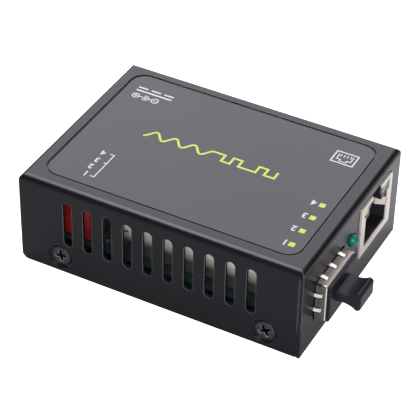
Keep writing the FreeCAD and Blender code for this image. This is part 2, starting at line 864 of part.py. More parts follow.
def add_finger_windows(body):
    """Windows in the nose of the cage under the spring fingers, and a slot along each corner."""
    half = size.finger_width / 2 + 0.22
    near = cage_front + 0.85
    far = 0.4 - half_depth
    across = [rectangle(x - half, x + half, near, far) for x in top_fingers]
    upright = [rectangle(near, far, z - half, z + half) for z in side_fingers]
    prism(body, "windows_above_below", TOP, across, size.cage_bottom - 1, cage_top + 1, cut=True)
    prism(body, "windows_beside", SIDE, upright, cage_left - 1, cage_right + 1, cut=True)
    corners = [(cage_left, cage_top, 1, -1), (cage_right, cage_top, -1, -1),
               (cage_left, size.cage_bottom, 1, 1), (cage_right, size.cage_bottom, -1, 1)]
    slots = [corner_slot(*corner) for corner in corners]
    prism(body, "corner_slots", FRONT, slots, half_depth - 0.2, half_depth + 1.35, cut=True)


def corner_slot(x, z, inward_x, inward_z):
    """Strip that crosses one corner of the cage's outline at 45 degrees."""
    spread = size.cage_corner_slot / (2 * math.sqrt(2))
    outer = 0.3
    inner = 0.55
    return outline([(x - inward_x * outer + inward_x * spread, z - inward_z * outer - inward_z * spread),
                    (x + inward_x * inner + inward_x * spread, z + inward_z * inner - inward_z * spread),
                    (x + inward_x * inner - inward_x * spread, z + inward_z * inner + inward_z * spread),
                    (x - inward_x * outer - inward_x * spread, z - inward_z * outer + inward_z * spread)])


def add_cage_notches(body):
    """Openings through both side walls: two low notches, the open rear corner and a latch window."""
    low = size.cage_bottom - 1
    notches = [rectangle(y - 2.5, y + 2.5, low, size.cage_bottom + 1.1) for y in CAGE_SIDE_NOTCHES]
    notches.append(rectangle(9.0, size.cage_back - size.cage_wall, low, 9.6))
    notches.append(rectangle(10.6, 11.7, 12.0, 12.6))
    prism(body, "side_notches", SIDE, notches, cage_left - 1, cage_right + 1, cut=True)


def finger_profile(surface, outward):
    """Strip that leaves the nose and slopes out to the panel, as (y, distance out of a cage face)."""
    slope = [(0.95, -0.25), (1.05, 0.1), (2.5, 0.39), (3.1, 0.34), (3.8, 0.2),
             (3.8, 0.0), (3.05, 0.14), (2.5, 0.19), (1.25, -0.06), (1.12, -0.25)]
    return [(cage_front + along, surface + out * outward) for along, out in slope]


def build_collar():
    """Spring collar: a band round the cage behind the panel, with sloping fingers in the opening."""
    body = new_body("collar")
    gauge = 0.2
    band = rectangle(cage_left - gauge, cage_right + gauge, size.cage_bottom - gauge, cage_top + gauge)
    core = rectangle(cage_left, cage_right, size.cage_bottom, cage_top)
    band_front = cage_front + 3.6
    prism(body, "band", FRONT, [band, core], -band_front - 1.4, -band_front)
    half = size.finger_width / 2
    for number, x in enumerate(top_fingers):
        for name, surface, outward in (("above", cage_top, 1), ("below", size.cage_bottom, -1)):
            shape = outline(finger_profile(surface, outward))
            prism(body, f"finger_{name}_{number}", SIDE, [shape], x - half, x + half)
    for number, z in enumerate(side_fingers):
        for name, surface, outward in (("left", cage_left, -1), ("right", cage_right, 1)):
            shape = outline([(x, y) for y, x in finger_profile(surface, outward)])
            prism(body, f"finger_{name}_{number}", TOP, [shape], z - half, z + half)
    keep("cage_spring_collar", body)


def build_plug():
    """Rubber dust plug: insert, flange that covers the mouth, and a waisted pull grip."""
    body = new_body("plug")
    clear = size.cage_wall + size.plug_clearance
    back = cage_front + size.plug_depth
    flange_back = cage_front - size.flange_gap
    flange_face = -half_depth - size.flange_front
    insert = rectangle(cage_left + clear, cage_right - clear, size.cage_bottom + clear, cage_top - clear)
    prism(body, "insert", FRONT, [insert], -back, -flange_back)
    round_off(body, "insert_corners", 0.4, runs_along(Vector(0, 1, 0)))
    flange = rectangle(size.cage_centre - size.flange_width / 2, size.cage_centre + size.flange_width / 2,
                       cage_middle - size.flange_height / 2, cage_middle + size.flange_height / 2)
    prism(body, "flange", FRONT, [flange], -flange_back, -flange_face)
    round_off(body, "flange_rim", 0.3, ends_at_y(flange_face.value))
    add_grip(body, flange_face)
    keep("dust_plug", body)


def add_grip(body, root):
    """Pull grip with hollow flanks above and below and a thick bevelled end."""
    level = cage_middle + size.grip_lift
    flare = -half_depth - size.grip_flare_front
    tip = -half_depth - size.grip_tip
    root_half = size.grip_root_height / 2
    flare_half = size.grip_flare_height / 2
    end_half = size.grip_end_height / 2
    corners = [(root + 0.3, level - root_half), (root, level - root_half), (flare, level - flare_half),
               (tip, level - end_half), (tip, level + end_half), (flare, level + flare_half),
               (root, level + root_half), (root + 0.3, level + root_half)]
    hollows = {1: size.grip_hollow_radius, 5: size.grip_hollow_radius}
    half = size.grip_width / 2
    shape = outline(corners, hollows)
    prism(body, "grip", SIDE, [shape], size.cage_centre - half, size.cage_centre + half)

    def beyond_flange(edge):
        return edge.BoundBox.YMin < root.value - 0.01

    round_off(body, "grip_edges", size.grip_rounding, beyond_flange)


# ---------------------------------------------------------------- network jack

def build_jack_shield():
    """Drawn shield of the network jack: front frame, roof, sides and rear, open below."""
    body = new_body("shield")
    wall = size.jack_shield
    outside = rectangle(jack_left, jack_right, size.jack_bottom, jack_top)
    prism(body, "outside", FRONT, [outside], -jack_rear, -jack_face)
    round_off(body, "long_edges", 0.5, roof_edge)
    inside = rectangle(jack_left + wall, jack_right - wall, jack_face + wall, jack_rear - wall)
    prism(body, "inside", TOP, [inside], size.jack_bottom - 1, jack_top - wall, cut=True)
    bore = size.jack_bore_width / 2
    latch = size.latch_width / 2
    window = size.window_half_span
    half_outline = [(bore, size.jack_bore_low), (bore, size.window_low), (window, size.window_low),
                    (window, size.window_high), (latch, size.window_high), (latch, jack_top + 1)]
    frame = [(size.jack_centre + x, z) for x, z in half_outline]
    frame += [(size.jack_centre - x, z) for x, z in reversed(half_outline)]
    prism(body, "front_frame", FRONT, [outline(frame)], -jack_face - 2, -jack_face + 1, cut=True)
    for side in (-1, 1):
        bent = [(5.95, 0.0), (5.95, 0.3), (5.05, 2.5), (5.6, 4.2), (5.78, 4.1), (5.3, 2.5), (6.2, 0.3),
                (6.2, 0.0)]
        spring = outline([(size.jack_centre + x * side, jack_face + y) for x, y in bent])
        prism(body, f"ground_spring_{'left' if side < 0 else 'right'}", TOP, [spring], 12.3, 14.5)
    keep("jack_shield", body)


def roof_edge(edge):
    along_y = runs_along(Vector(0, 1, 0))
    return along_y(edge) and edge.BoundBox.ZMax > jack_top.value - 1e-6


def build_jack_housing():
    """Moulded insert of the jack: plug bore, latch channel, spring pockets and lamp pockets."""
    body = new_body("insert")
    gap = size.jack_shield + 0.05
    face = jack_face + gap
    outside = rectangle(jack_left + gap, jack_right - gap, board_top, jack_top - gap)
    prism(body, "outside", FRONT, [outside], -jack_rear + gap, -face)
    bore = size.jack_bore_width / 2 + 0.05
    bore_back = jack_face + size.jack_bore_depth
    latch = size.latch_width / 2 + 0.05
    half_outline = [(bore, size.jack_bore_low), (bore, 15.6), (3.2, 15.6), (3.2, 17.6),
                    (latch, 17.6), (latch, jack_top + 1)]
    opening = [(size.jack_centre + x, z) for x, z in half_outline]
    opening += [(size.jack_centre - x, z) for x, z in reversed(half_outline)]
    prism(body, "plug_bore", FRONT, [outline(opening)], -bore_back, -face + 1, cut=True)
    springs = rectangle(size.jack_centre - 6.5, size.jack_centre + 6.5, 11.9, 14.9)
    prism(body, "spring_pockets", FRONT, [springs], -jack_face - 4.8, -face + 1, cut=True)
    lamps = [rectangle(left, left + size.window_width, size.window_low, size.window_high)
             for left in jack_lamp_lefts]
    prism(body, "lamp_pockets", FRONT, lamps, -jack_face - 4.0, -face + 1, cut=True)
    keep("jack_housing", body)


def build_jack_lamps():
    """Two light blocks behind the windows in the jack's upper corners."""
    gap = 0.05
    for node, left in zip(("jack_lamp_left", "jack_lamp_right"), jack_lamp_lefts):
        body = new_body(node + "_body")
        face = rectangle(left + gap, left + size.window_width - gap,
                         size.window_low + gap, size.window_high - gap)
        prism(body, "block", FRONT, [face], -jack_face - 3.8, -jack_face - 0.35)
        keep(node, body)


def build_jack_contacts():
    """Eight spring contacts that rise from the floor of the bore to its rear wall."""
    path = [(3.0, 8.75), (9.4, 10.25), (13.5, 10.25), (13.5, 10.55), (9.3, 10.55), (2.95, 9.05)]
    corners = [(jack_face + y, z) for y, z in path]
    body = new_body("contacts", several=True)
    first = size.jack_centre - 3.5 * 1.02
    shape = outline(corners)
    contact = prism(body, "contact", SIDE, [shape], first - 0.22, first + 0.22)
    repeat(body, "contact_row", contact, "X_Axis", 1.02, 8)
    keep("jack_contacts", body)


def build_legs():
    """Legs of the jack, the power socket and the switch, soldered through the board."""
    sets = {
        "jack_legs": [(size.jack_centre + x, y) for x, y in JACK_PINS],
        "power_socket_legs": [(size.socket_centre + x, y) for x, y in SOCKET_LUGS],
        "dip_switch_legs": [(x, y) for x in dip_levers for y in DIP_PIN_ROWS],
    }
    for node, spots in sets.items():
        legs = [leg(f"{node}_{number}", x, y, board_top) for number, (x, y) in enumerate(spots)]
        keep(node, group(node + "_set", legs))


# ---------------------------------------------------------------- status lamp

def build_status_lamp():
    """Round lamp between the ports: dome, barrel and the collar that stops behind the panel."""
    tip = -half_depth - size.lamp_proud
    centre = tip + size.lamp_radius
    dome = doc.addObject("Part::Sphere", "lamp_dome")
    bind(dome, "Radius", size.lamp_radius)
    place(dome, (0, centre, size.lamp_level))
    barrel = rod("lamp_barrel", size.lamp_radius, (0, lamp_back, size.lamp_level), lamp_back - centre, "-y")
    collar_back = -half_depth + size.sheet_gauge + 1.1
    collar = rod("lamp_collar", size.lamp_radius + 0.4, (0, collar_back, size.lamp_level), 1.0, "-y")
    keep("status_lamp", join("lamp", [dome, barrel, collar]))
    half = size.pin_width / 2
    leads = []
    for side in (-1, 1):
        x = side * LAMP_LEAD_SPACING / 2
        span = (x - half, x + half)
        name = f"lamp_lead_{'left' if side < 0 else 'right'}"
        rise = (LAMP_LEAD_Y - half, LAMP_LEAD_Y + half)
        top = size.lamp_level + half
        flat = block(name + "_flat", span, (lamp_back, LAMP_LEAD_Y + half), (size.lamp_level - half, top))
        down = block(name + "_down", span, rise, (size.pin_foot, top))
        leads.append(join(name, [flat, down]))
    keep("lamp_leads", group("lamp_lead_pair", leads))


# ---------------------------------------------------------------- power socket

def build_power_socket():
    """Power socket: square front block, half-round barrel, round bore with a pin and a leaf."""
    body = new_body("socket")
    half = size.socket_width / 2
    low = size.socket_centre - half
    high = size.socket_centre + half
    front = rectangle(low, high, board_top, socket_top)
    prism(body, "front_block", FRONT, [front], -half_depth, -half_depth + 3.3)
    shoulder = size.socket_level
    barrel = [(low, board_top), (high, board_top), (high, shoulder), (low, shoulder)]
    prism(body, "barrel", FRONT, [outline(barrel, {2: half + 0.001})], -half_depth + 3, -socket_back)
    bore_end = half_depth - size.socket_bore_depth
    bore = disc(size.socket_centre, size.socket_level, size.socket_bore_radius)
    prism(body, "bore", FRONT, [bore], -half_depth - 1, -bore_end, cut=True)
    groove = rectangle(size.socket_centre - 1, size.socket_centre + 1, 9.0, 10.4)
    prism(body, "leaf_groove", FRONT, [groove], -half_depth + 1.2, -bore_end, cut=True)
    keep("power_socket_housing", body)
    bevel = size.socket_pin_bevel
    shaft_length = size.socket_bore_depth - 1 - bevel
    shaft = rod("socket_pin_shaft", size.socket_pin_radius, (size.socket_centre, bore_end,
                size.socket_level), shaft_length, "+y")
    tip = cone("socket_pin_tip", size.socket_pin_radius, size.socket_pin_radius - bevel,
               (size.socket_centre, bore_end + shaft_length, size.socket_level), bevel, "+y")
    keep("power_socket_pin", join("socket_pin", [shaft, tip]))
    leaf_body = new_body("socket_leaf")
    leaf = [(0, 9.1), (3.2, 9.1), (6.2, 9.9), (8.2, 9.25), (8.2, 9.45), (6.2, 10.1), (3.2, 9.3), (0, 9.3)]
    corners = [(bore_end + y, z) for y, z in leaf]
    prism(leaf_body, "leaf", SIDE, [outline(corners)], size.socket_centre - 0.8, size.socket_centre + 0.8)
    keep("power_socket_leaf", leaf_body)


# ---------------------------------------------------------------- DIP switch

def build_dip_switch():
    """Piano DIP switch: body with four lever slots, and four levers on short trunnions."""
    half = size.dip_width / 2
    body = new_body("switch")
    plan = rectangle(size.dip_centre - half, size.dip_centre + half, size.dip_front, size.dip_back)
    prism(body, "block", TOP, [plan], board_top, size.dip_top)
    slot_half = size.lever_slot / 2
    slots = [rectangle(x - slot_half, x + slot_half, size.lever_pivot_level - 2.3,
                       size.lever_pivot_level + 2.3) for x in dip_levers]
    slot_end = size.lever_pivot_y - 1.4
    prism(body, "lever_slots", FRONT, slots, -size.dip_back - 1, -slot_end, cut=True)
    reach = size.dip_pitch * 1.5 + slot_half + 0.35
    hole = disc(size.lever_pivot_y, size.lever_pivot_level, size.trunnion_radius + size.trunnion_clearance)
    prism(body, "trunnion_hole", SIDE, [hole], size.dip_centre - reach, size.dip_centre + reach, cut=True)
    keep("dip_switch_body", body)
    for number, x in enumerate(dip_levers, start=1):
        build_lever(f"dip_lever_{number}", x)


def build_lever(node, x):
    """Rocking lever, drawn with its pivot at the origin and raised by its tilt."""
    body = new_body(node + "_body")
    half = size.lever_width / 2
    reach = size.lever_reach
    arm = outline([(0, -0.75), (reach - 0.5, -0.62), (reach, -0.2), (reach, 0.3), (reach - 0.4, 0.62),
                   (0, 0.75)])
    prism(body, "arm", SIDE, [arm], -half, half)
    prism(body, "hub", SIDE, [disc(0, 0, 1.05)], -half, half)
    stub = half + 0.4
    prism(body, "trunnions", SIDE, [disc(0, 0, size.trunnion_radius)], -stub, stub)
    body.Placement = Placement(Vector(), Rotation(Vector(1, 0, 0), size.lever_tilt.value))
    for axis, value in zip("xyz", (x, size.lever_pivot_y, size.lever_pivot_level)):
        bind(body, f"Placement.Base.{axis}", value)
    keep(node, body)


# ---------------------------------------------------------------- electronics

def on_board(name, centre, plan, height, lift=0.0):
    """Box of a surface part, centred over a spot of the board."""
    x, y = centre
    wide, deep = plan
    low = board_top + lift
    return block(name, (x - wide / 2, x + wide / 2), (y - deep / 2, y + deep / 2), (low, low + height))


def build_host_connector():
    """Edge connector at the rear of the cage: slotted block and two rows of contacts."""
    middle = size.cage_centre
    half = 5.8
    body = block("host_block", (middle - half, middle + half), (2.0, 9.8), (board_top, board_top + 4.6))
    slot = block("host_slot", (middle - 5.0, middle + 5.0), (1.0, 7.0), (8.4, 9.6))
    keep("host_connector", remove("host_connector_solid", body, [slot]))
    contacts = []
    for number in range(10):
        x = middle + (number - 4.5) * 0.8
        span = (x - 0.18, x + 0.18)
        contacts.append(block(f"host_contact_low_{number}", span, (2.4, 7.0), (8.4, 8.6)))
        contacts.append(block(f"host_contact_high_{number}", span, (2.4, 7.0), (9.4, 9.6)))
    keep("host_contacts", group("host_contact_set", contacts))


def build_chips():
    """Converter chip, memory chip and voltage regulator, each moulded over its leads."""
    chip = on_board("converter_package", (9.6, -3.2), (9.0, 9.0), 0.9)
    mark = rod("converter_mark", 0.5, (6.1, 0.3, board_top + 0.8), 1)
    keep("converter_chip", remove("converter_solid", chip, [mark]))
    memory = [on_board("memory_package", (9.0, 8.0), (4.0, 5.0), 1.35, 0.15)]
    for number in range(4):
        y = 8.0 + (number - 1.5) * 1.27
        memory.append(on_board(f"memory_lead_{number}", (9.0, y), (6.0, 0.4), 0.6))
    keep("memory_chip", join("memory_solid", memory))
    regulator = [on_board("regulator_package", (6.5, 16.5), (6.5, 3.5), 1.5, 0.1),
                 on_board("regulator_tab", (6.5, 18.9), (3.0, 1.8), 0.4)]
    for number in range(3):
        regulator.append(on_board(f"regulator_lead_{number}", (6.5 + (number - 1) * 2.3, 14.2),
                                  (0.7, 1.6), 0.4))
    keep("voltage_regulator", join("regulator_solid", regulator))


def build_board_parts():
    """Crystal can, coil, three capacitor cans and the small ceramic parts."""
    body = new_body("crystal")
    can = upright_slot(0.2, 1.5, 4.6, 11.2)
    prism(body, "can", TOP, [can], board_top, board_top + 3.4)
    keep("crystal_can", body)
    coil_box = on_board("coil_box", (15.4, 8.4), (6.6, 6.6), 3.0)
    upright = runs_along(Vector(0, 0, 1))
    keep("power_coil", soften("coil_solid", coil_box, 1.2, upright))
    cans = []
    for number, (x, y) in enumerate(CAPACITORS):
        shoulder = size.can_height - size.can_bevel
        can = rod(f"capacitor_can_{number}", size.can_radius, (x, y, board_top), shoulder)
        rim = cone(f"capacitor_rim_{number}", size.can_radius, size.can_radius - size.can_bevel,
                   (x, y, board_top + shoulder), size.can_bevel)
        cans.append(join(f"capacitor_{number}", [can, rim]))
    keep("filter_capacitors", group("capacitor_set", cans))
    chips = []
    for number in range(6):
        chips.append(on_board(f"passive_front_{number}", (5.6 + 1.6 * number, -10.2), (0.8, 1.6), 0.7))
    for number in range(4):
        chips.append(on_board(f"passive_side_{number}", (1.0, -14.0 + 1.7 * number), (1.6, 0.8), 0.5))
        chips.append(on_board(f"passive_back_{number}", (-4.5 + 1.7 * number, 13.5), (0.8, 1.6), 0.6))
    keep("small_passives", group("passive_set", chips))


# ---------------------------------------------------------------- check and export

def check_document():
    """Stop on any failed object, empty shape or feature that changed nothing."""
    doc.recompute()
    for item in doc.Objects:
        if "Invalid" in item.State or "Error" in item.State:
            raise RuntimeError(f"{item.Name} ({item.Label}) failed: {item.State}")
        if item.TypeId in ("PartDesign::Pocket", "PartDesign::Groove"):
            if item.Shape.Volume > item.BaseFeature.Shape.Volume - 1e-4:
                raise RuntimeError(f"{item.Name} cuts nothing")
    for node, item in parts.items():
        if item.Shape.isNull() or not item.Shape.isValid() or not item.Shape.Solids:
            raise RuntimeError(f"{node} has no sound shape")


def write_parts():
    for node, item in parts.items():
        item.Shape.exportStep(f"parts/{node}.step")
        box = item.Shape.BoundBox
        print(f"{node:22s} solids {len(item.Shape.Solids):3d}  volume {item.Shape.Volume:9.2f}"
              f"  z {box.ZMin:6.2f} to {box.ZMax:6.2f}")


BUILDERS = (
    build_cover, build_base, build_overlay, build_cover_screws, build_board_screws, build_standoffs,
    build_board, build_cage, build_collar, build_plug, build_jack_shield, build_jack_housing,
    build_jack_lamps, build_jack_contacts, build_legs, build_status_lamp, build_power_socket,
    build_dip_switch, build_host_connector, build_chips, build_board_parts,
)

for build in BUILDERS:
    build()
check_document()
write_parts()
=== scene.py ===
# %% [markdown]
# # A fibre media converter, dressed for its portrait
#
# The object is a palm-sized steel box that turns light in a fibre into signals on a copper cable. Its
# solids come ready made from the CAD frame: folded cover, base, screws, ports, board. Here they get their
# finishes, and the details that a drawing leaves out: printed marks, solder, the tinned ends of small
# parts. Every length in Blender is in metres, so a small constant turns the maker's millimetres into
# metres.

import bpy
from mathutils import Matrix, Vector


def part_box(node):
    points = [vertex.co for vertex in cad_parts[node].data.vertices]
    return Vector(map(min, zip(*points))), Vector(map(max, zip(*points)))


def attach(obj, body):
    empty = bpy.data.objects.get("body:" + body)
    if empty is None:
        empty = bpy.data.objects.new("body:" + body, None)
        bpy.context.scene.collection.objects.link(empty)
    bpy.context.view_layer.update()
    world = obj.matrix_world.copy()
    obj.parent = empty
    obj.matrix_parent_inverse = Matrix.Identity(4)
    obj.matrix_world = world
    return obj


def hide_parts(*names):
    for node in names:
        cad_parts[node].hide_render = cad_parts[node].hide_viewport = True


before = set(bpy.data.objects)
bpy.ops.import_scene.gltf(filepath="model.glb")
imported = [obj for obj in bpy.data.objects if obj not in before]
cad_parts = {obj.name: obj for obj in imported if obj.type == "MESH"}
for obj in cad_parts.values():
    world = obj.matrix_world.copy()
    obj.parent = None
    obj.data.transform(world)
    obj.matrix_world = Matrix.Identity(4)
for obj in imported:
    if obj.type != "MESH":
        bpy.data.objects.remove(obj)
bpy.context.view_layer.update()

import math

import bpy
import numpy as np
from mathutils import Matrix, Vector

MM = 0.001
case_low, case_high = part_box("housing_cover")

# %% [markdown]
# ## Camera
#
# A product portrait is taken from a distance with a long lens, so that parallel edges stay nearly
# parallel. The camera is placed by two angles and a distance about the middle of the case, then turned a
# little about its own axis. Building its matrix from three unit vectors is clearer than stacking Euler
# angles: right, up, and the direction from the subject back to the lens.

# %% Camera
AZIMUTH = math.radians(-62.77)
ELEVATION = math.radians(38.485)
ROLL = math.radians(1.319)
DISTANCE = 413.25 * MM
AIM_RIGHT = -0.7325 * MM
AIM_UP = -1.3075 * MM
FOCAL_LENGTH = 159.37
NEAREST_SEEN = 10 * MM


def camera_axes(azimuth, elevation, roll):
    """Right, up and back unit vectors of a camera that looks at the subject from these angles."""
    level = math.cos(elevation)
    back = Vector((math.sin(azimuth) * level, -math.cos(azimuth) * level, math.sin(elevation)))
    right = (-back).cross(Vector((0, 0, 1))).normalized()
    up = right.cross(-back)
    rolled_right = right * math.cos(roll) + up * math.sin(roll)
    rolled_up = up * math.cos(roll) - right * math.sin(roll)
    return rolled_right, rolled_up, back


def add_object(name, data):
    """A new object with that data, linked into the scene."""
    thing = bpy.data.objects.new(name, data)
    bpy.context.scene.collection.objects.link(thing)
    return thing


def facing(place, across, along, out):
    """Matrix of something at a place whose own X, Y and Z axes are these unit vectors."""
    return Matrix.Translation(place) @ Matrix((across, along, out)).transposed().to_4x4()


def add_camera(right, up, back):
    """Camera at its distance from the middle of the case, with the subject a little off its axis."""
    data = bpy.data.cameras.new("portrait_camera")
    data.lens = FOCAL_LENGTH
    data.clip_start = NEAREST_SEEN
    camera = add_object("portrait_camera", data)
    middle = Vector((0, 0, (case_low.z + case_high.z) / 2))
    eye = middle + right * AIM_RIGHT + up * AIM_UP + back * DISTANCE
    camera.matrix_world = facing(eye, right, up, back)
    bpy.context.scene.camera = camera
    return camera


lens_right, lens_up, lens_direction = camera_axes(AZIMUTH, ELEVATION, ROLL)
print("camera at", [round(v, 3) for v in add_camera(lens_right, lens_up, lens_direction).location])

# %% [markdown]
# ## Talking to shader nodes
#
# A material is a graph of nodes, and a graph written out link by link hides its own idea. So a few small
# functions come first. Each makes one kind of node, takes a plain value or another node's output alike,
# and returns the output that the next step needs. Read from the inside out, mix_colour(tree,
# edge_highlight, paint, highlight) is then the recipe itself: paint, and a paler painted highlight along
# the edges.

# %% Helpers for shader nodes


def feed(socket, value):
    """Links another node's output to this input, or sets the input to a plain value."""
    if isinstance(value, bpy.types.NodeSocket):
        socket.id_data.links.new(value, socket)
    else:
        socket.default_value = value


def feed_by_name(node, **values):
    """Feeds the inputs of a node by their names, written small and with underscores."""
    inputs = {socket.name.lower(): socket for socket in node.inputs if socket.enabled}
    for label, value in values.items():
        feed(inputs[label.replace("_", " ")], value)


def add_node(tree, kind, **values):
    """A new shader node of that kind, with its inputs fed by name."""
    node = tree.nodes.new("ShaderNode" + kind)
    feed_by_name(node, **values)
    return node


def calculate(tree, operation, *values):
    """Math node: one operation on two or three values."""
    node = tree.nodes.new("ShaderNodeMath")
    node.operation = operation
    for socket, value in zip(node.inputs, values):
        feed(socket, value)
    return node.outputs["Value"]


def ramp(tree, value, low, high, at_low=0.0, at_high=1.0):
    """Map Range node: a straight slope from at_low, where the value is low, to at_high; level past both."""
    node = add_node(tree, "MapRange", value=value, from_min=low, from_max=high, to_min=at_low,
                    to_max=at_high)
    return node.outputs["Result"]


def mix_colour(tree, factor, first, second):
    """Mix node for colours: the first where the factor is 0, the second where it is 1."""
    node = tree.nodes.new("ShaderNodeMix")
    node.data_type = "RGBA"
    sockets = {socket.identifier: socket for socket in (*node.inputs, *node.outputs)}
    feed(sockets["Factor_Float"], factor)
    for label, colour in (("A_Color", first), ("B_Color", second)):
        feed(sockets[label], colour if isinstance(colour, bpy.types.NodeSocket) else (*colour, 1))
    return sockets["Result_Color"]


def object_place(tree):
    """Outputs X, Y and Z of the place on the piece in metres, which stays with the piece when it moves."""
    return add_node(tree, "SeparateXYZ", vector=add_node(tree, "TexCoord").outputs["Object"]).outputs


def new_material(name, **values):
    """A material with one Principled shader, whose own inputs are fed by name."""
    material = bpy.data.materials.new(name)
    material.use_nodes = True
    shader = material.node_tree.nodes["Principled BSDF"]
    feed_by_name(shader, **values)
    return material, material.node_tree, shader


print("node helpers", [helper.__name__ for helper in (add_node, calculate, ramp, mix_colour, object_place)])

# %% [markdown]
# ## Floor, light and sky
#
# Dark satin steel shows almost nothing of its own colour: it shows what it mirrors. So the light is
# arranged for the reflections. A direction b back to the lens is mirrored by a face of normal n into
# 2(n.b)n - b. For the roof that is b with x and y turned round, so the large softbox stands there and
# gives the roof its even grey. The bend between the roof and the slotted side mirrors an arc of directions
# that all have the same y, from the softbox over the top and down to the floor: a brighter panel on that
# arc draws a thin light line along the bend. On the arc of the bend over the ports, where all directions
# have the same x, a panel no brighter than the softbox lets the roof's grey run a little way round before
# the bend turns dark.

# %% Directions that the case mirrors into the lens
SIDE_BEND_ARC = math.radians(88)
FRONT_BEND_ARC = math.radians(101)

roof_mirror = Vector((-lens_direction.x, -lens_direction.y, lens_direction.z))
side_arc = math.sqrt(1 - lens_direction.y ** 2)
side_bend_mirror = Vector((side_arc * math.cos(SIDE_BEND_ARC), -lens_direction.y,
                           side_arc * math.sin(SIDE_BEND_ARC)))
front_arc = math.sqrt(1 - lens_direction.x ** 2)
front_bend_mirror = Vector((-lens_direction.x, front_arc * math.cos(FRONT_BEND_ARC),
                            front_arc * math.sin(FRONT_BEND_ARC)))
print("mirrored", [[round(v, 2) for v in b] for b in (roof_mirror, side_bend_mirror, front_bend_mirror)])

# %% [markdown]
# The floor is a light table. The lens sees it white, as a sheet lit from below would be. What the case
# mirrors of it is far dimmer, and brightest in front of the network jack. From underneath the sheet can't
# be seen at all, and it is clear to what touches it, so a view from below shows the base plate with light
# on it. The last two are one mask: 1 on the sheet's back or at the end of a very short ray, and the rest
# of 1 is its opacity.

# %% Light table
FLOOR_SIZE = 3.0
FLOOR_LEVEL = -0.03 * MM
FLOOR_TONE = (0.3, 0.3, 0.305)
TABLE_WHITE = 1.1
CONTACT = 0.3 * MM
FRONT_GLOW = 0.55
FRONT_GLOW_Y = (-29 * MM, -38 * MM)
FRONT_GLOW_X = (-28 * MM, 45 * MM)


def light_table():
    """Pale sheet, white to the lens, dim to the case and clear from below; its glow rises with -Y and X."""
    material, tree, shader = new_material("light_table", base_color=(*FLOOR_TONE, 1), roughness=0.9,
                                          specular_ior_level=0.1, emission_color=(1, 1, 1, 1))
    place = object_place(tree)
    glow = calculate(tree, "MULTIPLY", ramp(tree, place["Y"], *FRONT_GLOW_Y),
                     ramp(tree, place["X"], *FRONT_GLOW_X, 0.0, FRONT_GLOW))
    ray = add_node(tree, "LightPath").outputs
    white = calculate(tree, "MULTIPLY_ADD", ray["Is Camera Ray"], TABLE_WHITE, glow)
    feed(shader.inputs["Emission Strength"], white)
    touching = calculate(tree, "LESS_THAN", ray["Ray Length"], CONTACT)
    clear = calculate(tree, "MAXIMUM", add_node(tree, "NewGeometry").outputs["Backfacing"], touching)
    feed(shader.inputs["Alpha"], calculate(tree, "SUBTRACT", 1.0, clear))
    return material


def add_floor(material):
    """A plain square sheet just under the case."""
    half = FLOOR_SIZE / 2
    corners = [(x * half, y * half, FLOOR_LEVEL) for x, y in ((-1, -1), (1, -1), (1, 1), (-1, 1))]
    mesh = bpy.data.meshes.new("floor")
    mesh.from_pydata(corners, [], [(0, 1, 2, 3)])
    mesh.materials.append(material)
    floor = add_object("floor", mesh)
    return floor


print("floor", [round(v, 3) for v in add_floor(light_table()).dimensions])

# %% [markdown]
# Two more lights are mirrored by none of the large faces. A faint fill from behind the lens opens the
# ports. A low one reaches through the slots and warms the cage inside, and it is kept out of mirror
# reflections, so that it doesn't gleam in the dimples round the screws. An even pale sky keeps every
# reflection off pure black.

# %% Lights and sky
LIGHT_TONE = (1.0, 0.99, 1.07)
SLOT_DIRECTION = (-0.83, -0.43, 0.35)
SKY_TONE = (0.96, 0.965, 1.03)
SKY_STRENGTH = 0.24


def add_panel(name, direction, distance, size, radiance):
    """A soft light out along a direction, facing the case; its size is given across and along Y."""
    data = bpy.data.lights.new(name, "AREA")
    data.shape = "RECTANGLE"
    data.size, data.size_y = size
    data.energy = radiance * math.pi * size[0] * size[1]
    data.color = LIGHT_TONE
    panel = add_object(name, data)
    out = Vector(direction).normalized()
    across = Vector((0, 1, 0)).cross(out).normalized()
    place = Vector((0, 0, case_high.z / 2)) + out * distance
    panel.matrix_world = facing(place, across, out.cross(across), out)
    return panel


def set_sky():
    """An even pale sky all round."""
    world = bpy.data.worlds.new("soft_sky")
    world.use_nodes = True
    background = world.node_tree.nodes["Background"]
    feed_by_name(background, color=(*SKY_TONE, 1), strength=SKY_STRENGTH)
    bpy.context.scene.world = world


add_panel("roof_softbox", roof_mirror, distance=0.95, size=(0.85, 0.85), radiance=3.4)
add_panel("side_bend_panel", side_bend_mirror, distance=0.8, size=(0.62, 0.32), radiance=13.0)
add_panel("front_bend_panel", front_bend_mirror, distance=0.95, size=(0.4, 0.42), radiance=3.2)
add_panel("lens_fill", lens_direction, distance=0.9, size=(0.5, 0.5), radiance=2.5)
slot_light = add_panel("slot_light", SLOT_DIRECTION, distance=0.8, size=(0.38, 0.6), radiance=20.0)
slot_light.visible_glossy = False
set_sky()
bpy.context.scene.view_settings.view_transform = "Standard"

# %% [markdown]
# ## Shared surface effects
#
# Several finishes need the same effects, so each is a shader node group with named inputs, made once and
# placed in a material with its own values. The first is the fine texture of a baked coat or a moulded
# skin: a noise drives a bump, and a slower one shifts the roughness a little. It also eases sharp edges,
# and the angle between the eased and the true normal tells where an edge is: 1 - n.e is 0 on a flat face
# and above 0 at an edge.

# %% Fine grain
SLOW_NOISE = 90.0


def new_group(name, inputs, outputs):
    """An empty shader node group; inputs are (name, kind, value) and outputs are (name, kind)."""
    group = bpy.data.node_groups.new(name, "ShaderNodeTree")
    for label, kind, value in inputs:
        socket = group.interface.new_socket(label, in_out="INPUT", socket_type="NodeSocket" + kind)
        socket.default_value = value
    for label, kind in outputs:
        group.interface.new_socket(label, in_out="OUTPUT", socket_type="NodeSocket" + kind)
    return group, group.nodes.new("NodeGroupInput").outputs, group.nodes.new("NodeGroupOutput").inputs


